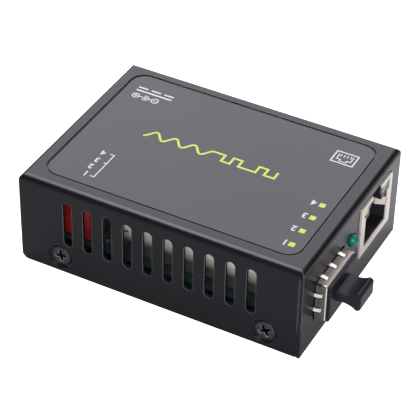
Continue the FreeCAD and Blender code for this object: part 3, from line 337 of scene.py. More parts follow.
def swing_about(tree, noise, centre, width):
    """A value that swings about a centre with the noise, over the given width."""
    swing = calculate(tree, "MULTIPLY", calculate(tree, "SUBTRACT", noise, 0.5), width)
    return calculate(tree, "ADD", swing, centre)


def build_grain_group():
    """Fine grain: a noise bumps the normal, edges are eased by a radius, and the roughness drifts."""
    group, given, result = new_group(
        "fine_grain",
        [("Grain per metre", "Float", 2500.0), ("Depth", "Float", 0.01 * MM), ("Strength", "Float", 0.4),
         ("Roughness", "Float", 0.4), ("Roughness Drift", "Float", 0.05),
         ("Edge Radius", "Float", 0.1 * MM)],
        [("Roughness", "Float"), ("Normal", "Vector"), ("Edge", "Float")])
    place = add_node(group, "TexCoord").outputs["Object"]
    fine = add_node(group, "TexNoise", vector=place, scale=given["Grain per metre"], detail=2.0)
    eased = add_node(group, "Bevel", radius=given["Edge Radius"]).outputs["Normal"]
    bump = add_node(group, "Bump", strength=given["Strength"], distance=given["Depth"],
                    height=fine.outputs["Fac"], normal=eased)
    slow = add_node(group, "TexNoise", vector=place, scale=SLOW_NOISE, detail=4.0).outputs["Fac"]
    feed(result["Roughness"], swing_about(group, slow, given["Roughness"], given["Roughness Drift"]))
    feed(result["Normal"], bump.outputs["Normal"])
    turn = group.nodes.new("ShaderNodeVectorMath")
    turn.operation = "DOT_PRODUCT"
    feed(turn.inputs[0], eased)
    feed(turn.inputs[1], add_node(group, "NewGeometry").outputs["Normal"])
    feed(result["Edge"], calculate(group, "SUBTRACT", 1.0, turn.outputs["Value"]))
    return group


GRAIN = build_grain_group()
print("group", GRAIN.name, "with", len(GRAIN.nodes), "nodes")

# %% [markdown]
# The second effect is a slow drift between two close tones over the whole piece, because nothing real is
# one flat colour. The third is the drawn grain of rolled metal: a noise that is stretched along the
# rolling direction by giving each axis its own scale.

# %% Drift of tone, and rolled grain


def build_drift_group():
    """Slow drift of tone: a colour between the two inputs that follows a wide soft noise."""
    group, given, result = new_group(
        "tone_drift", [("Patches per metre", "Float", 60.0), ("First", "Color", (0, 0, 0, 1)),
                       ("Second", "Color", (1, 1, 1, 1))], [("Color", "Color")])
    place = add_node(group, "TexCoord").outputs["Object"]
    noise = add_node(group, "TexNoise", vector=place, scale=given["Patches per metre"], detail=3.0)
    mask = ramp(group, noise.outputs["Fac"], 0.35, 0.65)
    feed(result["Color"], mix_colour(group, mask, given["First"], given["Second"]))
    return group


def build_rolled_group():
    """Rolled metal: a noise with three scales per metre, small along the rolling direction."""
    group, given, result = new_group(
        "rolled_grain", [("Scale", "Vector", (6000.0, 200.0, 6000.0)), ("Roughness", "Float", 0.3),
                         ("Roughness Drift", "Float", 0.2), ("Depth", "Float", 0.004 * MM)],
        [("Roughness", "Float"), ("Normal", "Vector")])
    place = add_node(group, "TexCoord").outputs["Object"]
    stretched = add_node(group, "Mapping", vector=place, scale=given["Scale"]).outputs["Vector"]
    lines = add_node(group, "TexNoise", vector=stretched, scale=1.0, detail=3.0).outputs["Fac"]
    bump = add_node(group, "Bump", strength=0.5, distance=given["Depth"], height=lines)
    feed(result["Roughness"], swing_about(group, lines, given["Roughness"], given["Roughness Drift"]))
    feed(result["Normal"], bump.outputs["Normal"])
    return group


DRIFT = build_drift_group()
ROLLED = build_rolled_group()
print("groups", [group.name for group in bpy.data.node_groups])

# %% [markdown]
# ## Recipes for finishes
#
# Each finish is one Principled shader. Values that are the same all over are set on the shader's own
# sockets. What changes over the surface comes from the groups. Most finishes are the same recipe, two
# close tones under a fine grain, so that recipe is a function and a finish is one call of it.

# %% Recipes


def place_group(tree, group, **values):
    """One use of a shared group in a material, with its own values; returns its outputs."""
    node = tree.nodes.new("ShaderNodeGroup")
    node.node_tree = group
    feed_by_name(node, **values)
    return node.outputs


def two_tones(tree, first, second, patches=60.0):
    """A colour that drifts between two close tones."""
    drift = place_group(tree, DRIFT, patches_per_metre=patches, first=(*first, 1), second=(*second, 1))
    return drift["Color"]


def grained(tree, shader, per_metre, depth, roughness, drift, edge=0.08 * MM):
    """Gives the shader the fine grain and eased edges of a coat or a skin, and returns the edge mask."""
    grain = place_group(tree, GRAIN, grain_per_metre=per_metre, depth=depth, roughness=roughness,
                        roughness_drift=drift, edge_radius=edge)
    feed(shader.inputs["Roughness"], grain["Roughness"])
    feed(shader.inputs["Normal"], grain["Normal"])
    return grain["Edge"]


def rolled(tree, shader, scale, roughness, drift, depth):
    """Gives the shader the drawn lines of rolled sheet."""
    lines = place_group(tree, ROLLED, scale=scale, roughness=roughness, roughness_drift=drift, depth=depth)
    feed(shader.inputs["Roughness"], lines["Roughness"])
    feed(shader.inputs["Normal"], lines["Normal"])


def grained_finish(name, tones, patches, grain, **values):
    """Two close tones under a fine grain; grain holds what grained() takes after the shader."""
    material, tree, shader = new_material(name, **values)
    feed(shader.inputs["Base Color"], two_tones(tree, *tones, patches))
    grained(tree, shader, *grain)
    return material


def coat(material, *nodes):
    """Puts a material on CAD nodes, in place of the one that they came with, and says so."""
    for node in nodes:
        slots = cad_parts[node].data.materials
        slots.clear()
        slots.append(material)
    print(material.name, "on", *nodes)


print("recipes", [recipe.__name__ for recipe in (two_tones, grained, rolled, grained_finish)])

# %% [markdown]
# ## Case: coated steel, printed film, black screws
#
# The cover and base are folded from thin sheet and baked with a satin black coat. A paler colour is
# painted on its sharp edges as a highlight, standing in for the light they catch, and hardly any low down.
# Painting that highlight by hand would need a map of the case; the edge mask of the grain group finds the
# edges by itself, and a ramp over the height fades it out.

# %% Coated steel
HIGHLIGHT_HEIGHT = (6.5 * MM, 9 * MM)
LEAST_HIGHLIGHT = 0.15
HIGHLIGHT_EDGE = (0.01, 0.15)


def coated_steel():
    """Satin black coat on sheet steel: dark, slightly cool, with a painted highlight on the edges."""
    material, tree, shader = new_material("coated_steel", specular_ior_level=0.22)
    paint = two_tones(tree, (0.0017, 0.0016, 0.0021), (0.0025, 0.0024, 0.003))
    edge = grained(tree, shader, 5200.0, 0.008 * MM, 0.27, 0.05, 0.28 * MM)
    highlight_fade = ramp(tree, object_place(tree)["Z"], *HIGHLIGHT_HEIGHT, LEAST_HIGHLIGHT, 1.0)
    # Painted highlight: a paler colour on the edges stands in for the light they catch, faded out low down.
    edge_highlight = calculate(tree, "MULTIPLY", ramp(tree, edge, *HIGHLIGHT_EDGE), highlight_fade)
    feed(shader.inputs["Base Color"], mix_colour(tree, edge_highlight, paint, (0.08, 0.078, 0.08)))
    return material


def overlay_film():
    """Matt printed film: a dark grey ink under a fine satin texture."""
    return grained_finish("overlay_film", [(0.0098, 0.0098, 0.0112), (0.012, 0.012, 0.0133)], 40.0,
                          (6500.0, 0.006 * MM, 0.33, 0.04), specular_ior_level=0.26)


coat(coated_steel(), "housing_cover", "base_plate")
coat(overlay_film(), "label_overlay")

# %% [markdown]
# The screws are black oxide on steel. A paler steel colour is painted on their edges as a highlight, and
# down in the cross recess they are painted black as shade. The screws look out along X on both sides, so
# the square of X tells both sides alike how deep a place lies under the screw's face.

# %% Black screws
SCREW_INSET = 0.4 * MM
SCREW_FACE = case_high.x - SCREW_INSET
FULL_SHADE_DEPTH = 0.32 * MM
NO_SHADE_DEPTH = 0.05 * MM
SCREW_HIGHLIGHT_EDGE = (0.01, 0.12)


def black_oxide():
    """Black oxide on steel: dark with a soft gloss, painted highlight on edges, painted shade in the
    recess.
    """
    material, tree, shader = new_material("black_oxide", metallic=0.6)
    oxide = two_tones(tree, (0.02, 0.0195, 0.021), (0.03, 0.029, 0.031), 900.0)
    edge = grained(tree, shader, 5000.0, 0.003 * MM, 0.24, 0.08, 0.14 * MM)
    # Painted highlight: a paler steel colour on the edges stands in for the light they catch.
    screw_highlight = ramp(tree, edge, *SCREW_HIGHLIGHT_EDGE)
    # Painted shade: below the screw's face the colour turns black down in the cross recess.
    across = object_place(tree)["X"]
    unshaded = ramp(tree, calculate(tree, "MULTIPLY", across, across),
                 (SCREW_FACE - FULL_SHADE_DEPTH) ** 2, (SCREW_FACE - NO_SHADE_DEPTH) ** 2)
    highlighted = mix_colour(tree, screw_highlight, oxide, (0.42, 0.41, 0.43))
    feed(shader.inputs["Base Color"], mix_colour(tree, unshaded, (0.002, 0.002, 0.002), highlighted))
    return material


screw_oxide = black_oxide()
coat(screw_oxide, "cover_screws")
print("screw face at", round(SCREW_FACE / MM, 2), "mm")

# %% [markdown]
# ## Ports: plated sheet
#
# The shield of the network jack, the fibre cage and its spring collar are all thin sheet, plated and then
# drawn or bent, so they share the rolled grain. Plate that has dulled is only partly a mirror, which is
# why none of them is fully metallic.

# %% Jack shield and spring collar


def nickel_sheet():
    """Warm nickel plate on drawn sheet, half dulled."""
    material, tree, shader = new_material("nickel_sheet", metallic=0.6)
    feed(shader.inputs["Base Color"], two_tones(tree, (0.52, 0.475, 0.405), (0.47, 0.43, 0.37), 250.0))
    rolled(tree, shader, (5000.0, 250.0, 5000.0), 0.3, 0.1, 0.0005 * MM)
    return material


def spring_sheet():
    """Bright spring sheet."""
    material, tree, shader = new_material("spring_sheet", metallic=0.3)
    feed(shader.inputs["Base Color"], two_tones(tree, (0.4, 0.39, 0.375), (0.35, 0.345, 0.33), 500.0))
    rolled(tree, shader, (400.0, 6000.0, 6000.0), 0.25, 0.1, 0.001 * MM)
    return material


coat(nickel_sheet(), "jack_shield")
coat(spring_sheet(), "cage_spring_collar")

# %% [markdown]
# The cage has more to tell along its length. Its cut rim is brightened by a painted highlight and the nose
# behind it is dull. Where it passes through the panel a band of painted shadow darkens it, and inside the
# case its wall is matt, pale above and painted darker low down as shade. Each of these is a ramp along Y or
# Z, and the colours are laid over one another in that order.

# %% Cage
PANEL = case_low.y
CAGE_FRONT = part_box("fibre_cage")[0].y
RIM_HIGHLIGHT_END = (CAGE_FRONT + 0.12 * MM, CAGE_FRONT + 0.28 * MM)
NOSE_END = (PANEL - 0.4 * MM, PANEL + 0.6 * MM)
PANEL_SHADOW_START = (PANEL - 0.22 * MM, PANEL - 0.16 * MM)
PANEL_SHADOW_END = (PANEL + 0.4 * MM, PANEL + 0.5 * MM)
LOW_SHADE_END = (10 * MM, 16 * MM)
NOSE_METALLIC = 0.92


def cage_sheet():
    """Cage plate: painted rim highlight, dull nose, painted shadow at the panel and painted shade low
    inside.
    """
    material, tree, shader = new_material("cage_sheet")
    place = object_place(tree)
    # Painted highlight: a brighter plate colour along the cut rim.
    rim = ramp(tree, place["Y"], *RIM_HIGHLIGHT_END, 1.0, 0.0)
    nose = ramp(tree, place["Y"], *NOSE_END, 1.0, 0.0)
    # Painted shadow: a near-black band where the cage passes through the panel.
    panel_shadow = calculate(tree, "MULTIPLY", ramp(tree, place["Y"], *PANEL_SHADOW_START),
                     ramp(tree, place["Y"], *PANEL_SHADOW_END, 1.0, 0.0))
    plate = two_tones(tree, (1.0, 0.9, 0.77), (0.68, 0.62, 0.54), 180.0)
    # Painted shade: the wall turns dark low down inside the case.
    wall = mix_colour(tree, ramp(tree, place["Z"], *LOW_SHADE_END), (0.035, 0.034, 0.03), plate)
    dulled = mix_colour(tree, nose, wall, (0.26, 0.24, 0.205))
    panel_shadowed = mix_colour(tree, panel_shadow, dulled, (0.006, 0.006, 0.006))
    feed(shader.inputs["Base Color"], mix_colour(tree, rim, panel_shadowed, (0.8, 0.76, 0.68)))
    feed(shader.inputs["Metallic"], calculate(tree, "MULTIPLY", nose, NOSE_METALLIC))
    rolled(tree, shader, (3000.0, 150.0, 3000.0), 0.28, 0.06, 0.0001 * MM)
    return material


coat(cage_sheet(), "fibre_cage")
print("cage nose from", round(CAGE_FRONT / MM, 2), "to the panel at", round(PANEL / MM, 2), "mm")

# %% [markdown]
# ## Rubber, mouldings, gold and tin
#
# The dust plug is soft rubber with a broad dull sheen, and the insides of the ports are a harder and
# glossier moulding. The springs of the two data ports are gold plated. What is soldered is tinned, and the
# board's screws and standoffs have much the same look.

# %% Rubber, mouldings and contacts


def black_rubber():
    """Moulded rubber: black with a broad dull sheen."""
    return grained_finish("black_rubber", [(0.0052, 0.0056, 0.007), (0.0075, 0.008, 0.01)], 400.0,
                          (4500.0, 0.012 * MM, 0.4, 0.1), specular_ior_level=0.13)


def black_moulding():
    """Hard black moulding inside the ports."""
    return grained_finish("black_moulding", [(0.006, 0.006, 0.007), (0.009, 0.009, 0.01)], 400.0,
                          (6000.0, 0.01 * MM, 0.35, 0.08), specular_ior_level=0.3)


def gold_contact():
    """Thin gold plate on springs."""
    return grained_finish("gold_contact", [(0.83, 0.6, 0.25), (0.75, 0.52, 0.2)], 800.0,
                          (4000.0, 0.004 * MM, 0.22, 0.08), metallic=1.0)


def tinned_metal():
    """Tin plate on legs, pins, cans and small screws."""
    return grained_finish("tinned_metal", [(0.68, 0.68, 0.67), (0.58, 0.58, 0.57)], 600.0,
                          (3500.0, 0.008 * MM, 0.3, 0.15), metallic=1.0)


tin = tinned_metal()
coat(black_rubber(), "dust_plug")
coat(black_moulding(), "jack_housing", "power_socket_housing", "host_connector")
coat(gold_contact(), "jack_contacts", "host_contacts")
coat(tin, "board_screws", "board_standoffs", "jack_legs", "power_socket_legs", "dip_switch_legs",
     "lamp_leads", "power_socket_pin", "power_socket_leaf", "crystal_can")

# %% [markdown]
# ## Lamps
#
# A status lamp and two light guides in the corners of the jack are clear resin with a dye. Full
# transmission would show the dark port behind them. A third of it, over a coloured body, gives the depth
# of resin and keeps the colour of the dye.

# %% Lamps


def dyed_resin(name, first, second):
    """Coloured clear resin over a lamp."""
    material, tree, shader = new_material(name, roughness=0.12, transmission_weight=0.35, ior=1.5)
    feed(shader.inputs["Base Color"], two_tones(tree, first, second, 300.0))
    return material


coat(dyed_resin("green_lens", (0.0, 0.12, 0.075), (0.0, 0.17, 0.11)), "status_lamp")
coat(dyed_resin("green_window", (0.008, 0.18, 0.095), (0.014, 0.24, 0.13)), "jack_lamp_right")
coat(dyed_resin("amber_window", (0.36, 0.41, 0.03), (0.43, 0.48, 0.045)), "jack_lamp_left")

# %% [markdown]
# ## Board and its parts
#
# Little of the board shows, and only through the slots, so plain recipes do: green solder mask, dark resin
# for chips, ceramic, and the sleeve of the cans. The switch block is the one that catches the eye. It is a
# red moulding on a black base, two pieces of plastic in one node, so its colour changes at one height.

# %% Board and parts
BOARD_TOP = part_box("circuit_board")[1].z
SWITCH_SPLIT = (BOARD_TOP + 1.05 * MM, BOARD_TOP + 1.1 * MM)


def board_laminate():
    """Green solder mask over glass laminate."""
    return grained_finish("board_laminate", [(0.018, 0.036, 0.032), (0.026, 0.05, 0.045)], 500.0,
                          (3000.0, 0.02 * MM, 0.3, 0.1))


def plain_plastic(name, first, second, roughness=0.35):
    """Moulded plastic of two close tones."""
    return grained_finish(name, [first, second], 400.0, (5000.0, 0.008 * MM, roughness, 0.08))


def switch_moulding():
    """Red moulded switch body on a black base, divided at one height."""
    material, tree, shader = new_material("switch_moulding")
    red = two_tones(tree, (0.15, 0.007, 0.0065), (0.125, 0.0065, 0.006), 400.0)
    above = ramp(tree, object_place(tree)["Z"], *SWITCH_SPLIT)
    feed(shader.inputs["Base Color"], mix_colour(tree, above, (0.012, 0.012, 0.012), red))
    grained(tree, shader, 5000.0, 0.008 * MM, 0.35, 0.08)
    return material


white_plastic = plain_plastic("white_moulding", (0.78, 0.78, 0.75), (0.7, 0.7, 0.67))
chip_resin = plain_plastic("chip_resin", (0.02, 0.02, 0.02), (0.028, 0.028, 0.028), 0.6)
ceramic = plain_plastic("ceramic", (0.4, 0.3, 0.2), (0.3, 0.22, 0.15), 0.4)
sleeve = plain_plastic("black_sleeve", (0.012, 0.012, 0.013), (0.018, 0.018, 0.02), 0.22)
coat(board_laminate(), "circuit_board")
coat(switch_moulding(), "dip_switch_body")
coat(white_plastic, *[f"dip_lever_{number}" for number in (1, 2, 3, 4)])
coat(chip_resin, "converter_chip", "memory_chip", "voltage_regulator", "power_coil")
coat(ceramic, "small_passives")
coat(sleeve, "filter_capacitors")
print("board top at", round(BOARD_TOP / MM, 2), "mm,", len(bpy.data.materials), "materials so far")

# %% [markdown]
# ## Making thin pieces
#
# Printed ink and small metal ends are flat outlines with a little height. A flat shape is an array of
# points and a list of faces, and most of them are two rows of a grid joined by quads. A line of ink is a
# ribbon: at each point of its path the two neighbouring directions are averaged, and the half width is
# divided by the cosine of half the turn, so that corners come out mitred at an even width.

# %% Flat shapes
ROUND_SIDES = 28


def grid_quads(rows, columns, closed=False):
    """Quads between neighbouring rows of a grid of points; closed joins each row's end to its start."""
    row, column = np.mgrid[0:rows - 1, 0:columns if closed else columns - 1]
    here = row * columns + column
    beside = row * columns + (column + 1) % columns
    return np.stack((here, beside, beside + columns, here + columns), axis=-1).reshape(-1, 4)


def ribbon(path, width):
    """Quads of even width along an open path of (u, v) points, with mitred corners."""
    path = np.asarray(path, dtype=float)
    steps = np.diff(path, axis=0)
    steps /= np.linalg.norm(steps, axis=1)[:, None]
    before = np.vstack((steps[:1], steps))
    after = np.vstack((steps, steps[-1:]))
    middle = before + after
    middle /= np.linalg.norm(middle, axis=1)[:, None]
    half_turn = np.sum(middle * after, axis=1)
    sideways = np.column_stack((-middle[:, 1], middle[:, 0])) * (width / 2 / half_turn)[:, None]
    return np.vstack((path - sideways, path + sideways)), grid_quads(2, len(path)).tolist()


def directions(angles):
    """Unit vectors (cos angle, sin angle)."""
    return np.column_stack((np.cos(angles), np.sin(angles)))


def flat_disc(centre, radius):
    """A filled circle as one face: centre + radius (cos angle, sin angle)."""
    angles = np.linspace(0, 2 * np.pi, ROUND_SIDES, endpoint=False)
    return directions(angles) * radius + np.asarray(centre), [list(range(ROUND_SIDES))]


def flat_ring(centre, radius, width, opening=0.0):
    """An even ribbon bent round a centre; opening is the angle left out, centred on +u."""
    out = directions(np.linspace(opening / 2, 2 * np.pi - opening / 2, ROUND_SIDES + 1))
    points = np.vstack((out * (radius + width / 2), out * (radius - width / 2))) + np.asarray(centre)
    return points, grid_quads(2, ROUND_SIDES + 1).tolist()


def flat_box(low, high):
    """A rectangle from its lower to its upper corner."""
    (a, b), (c, d) = low, high
    return np.array([(a, b), (c, b), (c, d), (a, d)], dtype=float), [[0, 1, 2, 3]]


def merge(shapes):
    """Several shapes as one array of points and one list of faces."""
    starts = np.cumsum([0] + [len(points) for points, faces in shapes])
    faces = [[corner + int(start) for corner in face] for (points, faces), start in zip(shapes, starts)
             for face in faces]
    return np.vstack([points for points, faces in shapes]), faces


print("a ribbon with one corner has", len(ribbon([(0, 0), (1, 0), (1, 1)], 0.1)[0]), "points")

# %% [markdown]
# To give a flat shape its height, its points are copied to two levels. An edge that two faces share is
# crossed once in each direction, so an edge whose way back is missing lies on the rim, and each of these
# gets a wall.

# %% Raised shapes and new pieces


def signed_area(ring):
    """Area of a closed ring of (u, v) points, above zero when it runs anticlockwise."""
    u, v = ring.T
    return 0.5 * np.sum(u * np.roll(v, -1) - v * np.roll(u, -1))


def raise_flat(shape, low, high):
    """Closed prism of a flat shape between two heights, as points and faces."""
    flat, faces = shape
    faces = [face if signed_area(flat[face]) > 0 else face[::-1] for face in faces]
    count = len(flat)
    points = np.vstack([np.column_stack((flat, np.full(count, level))) for level in (low, high)])
    edges = [edge for face in faces for edge in zip(face, face[1:] + face[:1])]
    crossed = set(edges)
    rim = [(first, second) for first, second in edges if (second, first) not in crossed]
    solid = [[corner + count for corner in face] for face in faces] + [face[::-1] for face in faces]
    return points, solid + [[first, second, second + count, first + count] for first, second in rim]


def new_piece(name, points, faces, material, slot):
    """A new mesh piece in metres that rides on the chassis and takes the given material; the slot is not
    used.
    """
    mesh = bpy.data.meshes.new(name)
    mesh.from_pydata(points.tolist(), [], faces)
    mesh.validate()
    mesh.materials.append(material)
    piece = add_object(name, mesh)
    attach(piece, "chassis")
    return piece


print("a raised square has", len(raise_flat(flat_box((0, 0), (1, 1)), 0.0, 1.0)[1]), "faces")

# %% [markdown]
# ## Screws, cans and solder
#
# Turned parts are a grid: one row of points for each ring, one column for each angle, and quads between
# them. A ring may have a different radius at every angle, and that is all that a cross recess needs: along
# an angle f from the nearest arm, the edge of a cross with arms of length a and half width w lies at
# min(a / cos f, w / sin f), and never nearer than its round core. The screws were driven home by hand, so
# each cross points its own way.

# %% Turned parts
RING_SIDES = 72
RING_ANGLES = np.linspace(0, 2 * np.pi, RING_SIDES, endpoint=False)


def turned(rings, place):
    """Closed solid through rings of (radius or radii, height), put in its place by a function of points.

    A point of a ring is (radius cos angle, radius sin angle, height), and a fan closes each end.
    """
    radii = np.array([np.broadcast_to(radius, RING_SIDES) for radius, height in rings])
    heights = np.repeat([[height] for radius, height in rings], RING_SIDES, axis=1)
    grid = np.stack((radii * np.cos(RING_ANGLES), radii * np.sin(RING_ANGLES), heights), axis=-1)
    grid = grid.reshape(-1, 3)
    first, last = len(grid), len(grid) + 1
    points = np.vstack((grid, (0, 0, heights[0, 0]), (0, 0, heights[-1, 0])))
    angle = np.arange(RING_SIDES)
    beside = np.roll(angle, -1)
    end = len(grid) - RING_SIDES
    near_fan = np.column_stack((np.full(RING_SIDES, first), angle, beside))
    walls = grid_quads(len(rings), RING_SIDES, closed=True)[:, [0, 3, 2, 1]]
    far_fan = np.column_stack((end + beside, end + angle, np.full(RING_SIDES, last)))
    return place(points), near_fan.tolist() + walls.tolist() + far_fan.tolist()


def cross_edge(arm, half_width, core, turn):
    """Distance from the axis to the edge of a cross recess at each ring angle."""
    fold = np.abs((RING_ANGLES - turn + np.pi / 4) % (np.pi / 2) - np.pi / 4)
    edge = np.minimum(arm / np.cos(fold), half_width / np.maximum(np.sin(fold), 1e-6))
    return np.maximum(edge, core)


print("cross recess from", *[round(v, 2) for v in np.sort(cross_edge(1.42, 0.4, 0.72, 0.0))[[0, -1]]], "mm")

# %% [markdown]
# All the sizes below are in millimetres. The places of screws and cans are the ones that their CAD nodes
# have.

# %% Cover screws
SCREW_LEVEL = 3.96
SCREW_PLACES = ((-1, -26.1, 0.5), (-1, 24.65, 0.15), (1, -26.1, 1.0), (1, 24.65, 0.75))
HEAD_RADIUS = 2.3
HEAD_ROUNDING = 0.3
SHANK_RADIUS = 1.25
SEAT_SLOPE = 0.8
SCREW_LENGTH = 3.9
TIP_CHAMFER = 0.3
CROSS = {"arm": 1.42, "half_width": 0.4, "core": 0.72}
RECESS = ((0.5, -0.95), (0.9, -0.2), (1.0, -0.1), (1.05, 0.0))


def screw_rings(turn):
    """Countersunk screw as rings: cross recess, flat face, rounded rim, seat cone and shank."""
    cross = cross_edge(turn=turn, **CROSS)
    rings = [(cross * share, height) for share, height in RECESS]
    rings += [(HEAD_RADIUS - HEAD_ROUNDING * (1 - math.sin(t)), -HEAD_ROUNDING * (1 - math.cos(t)))
              for t in np.linspace(0, np.pi / 2, 6)]
    seat_foot = -HEAD_ROUNDING - (HEAD_RADIUS - SHANK_RADIUS) * SEAT_SLOPE
    return rings + [(SHANK_RADIUS, seat_foot), (SHANK_RADIUS, TIP_CHAMFER - SCREW_LENGTH),
                    (SHANK_RADIUS - TIP_CHAMFER, -SCREW_LENGTH)]


def side_screw(side, along, turn):
    """One screw in its dimple in a side wall; side is -1 or 1."""
    def place(points):
        u, v, h = points.T
        return np.column_stack((side * (SCREW_FACE / MM + h), side * u + along, v + SCREW_LEVEL)) * MM
    return turned(screw_rings(turn), place)


screws = merge([side_screw(*spot) for spot in SCREW_PLACES])
screw_set = new_piece("cross_head_screws", *screws, screw_oxide, "black_screw")
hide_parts("cover_screws")
print("screws", len(screws[0]), "points")

# %% [markdown]
# The cans are closed by a lid of bare metal with a rolled rim. Solder climbs each leg in a hollow curve, so
# its rings grow wider ever faster towards the board.

# %% Can lids and solder
CAN_PLACES = ((-14.5, 16.8), (1.5, 22.6), (1.5, 28.8))
CAN_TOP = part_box("filter_capacitors")[1].z / MM
LEG_OFFSET = 2.75
LID_RINGS = ((0.3, 0.05), (1.75, 0.05), (1.95, 0.02), (2.0, -0.1))
SOLDER_RINGS = ((0.1, 0.42), (0.33, 0.4), (0.42, 0.2), (0.58, 0.07), (0.8, 0.02), (0.8, -0.04))


def standing(rings, x, y, low):
    """A turned solid that stands at a place, its heights above a level."""
    return turned(rings, lambda points: (points + np.array((x, y, low))) * MM)


lids = merge([standing(LID_RINGS, x, y, CAN_TOP) for x, y in CAN_PLACES])
new_piece("capacitor_lids", *lids, tin, "tinned_metal")
leg_places = [(x + side * LEG_OFFSET, y) for x, y in CAN_PLACES for side in (-1, 1)]
solder = merge([standing(SOLDER_RINGS, x, y, BOARD_TOP / MM) for x, y in leg_places])
new_piece("solder_fillets", *solder, tin, "tinned_metal")
print("lids", len(lids[0]), "points, solder", len(solder[0]), "points")

# %% [markdown]
# ## Printed marks on the film
#
# The film is screen printed in two inks, in a layer of a fiftieth of a millimetre. Marks are drawn as they
# are read: u runs from the ports towards the rear and v towards the slotted side on the left. One function
# turns them into the object's own axes and lays them on the film. The record has no slot for ink, so each
# ink takes the slot of the nearest tone. Sizes are in millimetres.

# %% Inks and printing
INK_HEIGHT = 0.02 * MM
FILM_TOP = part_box("label_overlay")[1].z


def ink(name, first, second):
    """Screen-printed ink: matt, with a faintly uneven tone."""
    return grained_finish(name, [first, second], 900.0, (7000.0, 0.004 * MM, 0.5, 0.05, 0.01 * MM),
                          specular_ior_level=0.3)


def print_marks(name, shapes, material, slot):
    """Prints flat shapes, given as (u, v), on the film: u becomes Y, and v becomes X turned round."""
    points, faces = raise_flat(merge(shapes), 0.0, INK_HEIGHT)
    placed = np.column_stack((-points[:, 1] * MM, points[:, 0] * MM, points[:, 2] + FILM_TOP))
    return new_piece(name, placed, faces, material, slot)


green_ink = ink("green_ink", (0.23, 0.26, 0.022), (0.27, 0.3, 0.032))
white_ink = ink("white_ink", (0.25, 0.26, 0.28), (0.3, 0.31, 0.33))
print("film top at", round(FILM_TOP / MM, 2), "mm")

# %% [markdown]
# The wave in the middle says what the box does: square pulses on one side, a wave of light on the other.
# It is one ribbon. Its v is middle + height on a pulse and middle - height between pulses, and then
# middle - height cos(2 pi (u - start) / period).

# %% Wave
WAVE_LEFT, WAVE_TURN, WAVE_RIGHT = -14.7, 1.2, 18.0
WAVE_MIDDLE = -2.05
WAVE_HEIGHT = 1.15
WAVE_LINE = 0.56
WAVE_STEPS = 85
WAVES = 3.5
PULSE = 2.12
PULSE_LEAD = 0.15
BITS = (1, 0, 1, 1, 0, 1, 0)


def pulses():
    """Path of the square pulses: each bit is a level, and the path steps up or down where it changes."""
    high, low = WAVE_MIDDLE + WAVE_HEIGHT, WAVE_MIDDLE - WAVE_HEIGHT
    ends = WAVE_LEFT + PULSE * (np.arange(len(BITS) + 1) + PULSE_LEAD)
    path = [(WAVE_LEFT, low), (WAVE_LEFT, high), (ends[0], high)]
    for bit, end in zip(BITS, ends[1:]):
        level = high if bit else low
        if path[-1][1] != level:
            path.append((path[-1][0], level))
        path.append((end, level))
    return np.array(path)


def light_wave():
    """Path of the wave of light."""
    u = np.linspace(WAVE_TURN, WAVE_RIGHT, WAVE_STEPS)
    period = (WAVE_RIGHT - WAVE_TURN) / WAVES
    return np.column_stack((u, WAVE_MIDDLE - WAVE_HEIGHT * np.cos((u - WAVE_TURN) * 2 * np.pi / period)))


wave = ribbon(np.vstack((pulses(), light_wave()[1:])), WAVE_LINE)
print_marks("printed_wave", [wave], green_ink, "amber_lens")
print("wave of", len(wave[1]), "quads")

# %% [markdown]
# Four lamps of a panel are numbered by the ports, and four switch levers at the rear. The numbers come
# from Blender's own font: a text curve is made a mesh, and its flat points are all that is kept of it.

# %% Squares, numbers and bracket
LAMP_ROWS = (17.4, 12.35, 7.3, 2.4)
LAMP_NUMBER_START = -26.6
LAMP_NUMBER_SIZE = 1.8
SQUARE_U = -28.0
SQUARE_SIDE = 1.36
LEVER_ROWS = (17.5, 14.75, 12.1, 9.3)
LEVER_NUMBER_START = 21.8
LEVER_NUMBER_SIZE = 1.7
BRACKET_BACK, BRACKET_ENDS = 19.75, 20.75
BRACKET_LOW, BRACKET_HIGH = 8.95, 17.75
BRACKET_LINE = 0.26
TICK_START, TICK_END = 19.89, 20.45
TICK_V = 12.4
DIGIT_BOLDNESS = 0.025
DIGIT_CURVE_STEPS = 4


def square(u, v, side):
    """A square round its middle."""
    return flat_box((u - side / 2, v - side / 2), (u + side / 2, v + side / 2))


def digit(text, size, start, middle):
    """Flat shape of one digit, as high as size; it starts at u and is centred on v."""
    data = bpy.data.curves.new("digit_" + text, "FONT")
    data.body = text
    data.resolution_u = DIGIT_CURVE_STEPS
    data.offset = DIGIT_BOLDNESS
    letter = add_object("digit_" + text, data)
    mesh = bpy.data.meshes.new_from_object(letter.evaluated_get(bpy.context.evaluated_depsgraph_get()))
    points = np.empty(len(mesh.vertices) * 3)
    mesh.vertices.foreach_get("co", points)
    flat = points.reshape(-1, 3)[:, :2]
    faces = [list(polygon.vertices) for polygon in mesh.polygons]
    flat = (flat - flat.min(axis=0)) * (size / np.ptp(flat[:, 1]))
    bpy.data.objects.remove(letter)
    bpy.data.meshes.remove(mesh)
    return flat + np.array((start, middle - size / 2)), faces


def numbers(rows, size, start):
    """Digits from 1 on, one at each row."""
    return [digit(str(number + 1), size, start, v) for number, v in enumerate(rows)]


def bracket():
    """Square bracket that opens towards the numbers, with a short tick inside."""
    path = [(BRACKET_ENDS, BRACKET_HIGH), (BRACKET_BACK, BRACKET_HIGH), (BRACKET_BACK, BRACKET_LOW),
            (BRACKET_ENDS, BRACKET_LOW)]
    half = BRACKET_LINE / 2
    return [ribbon(path, BRACKET_LINE), flat_box((TICK_START, TICK_V - half), (TICK_END, TICK_V + half))]


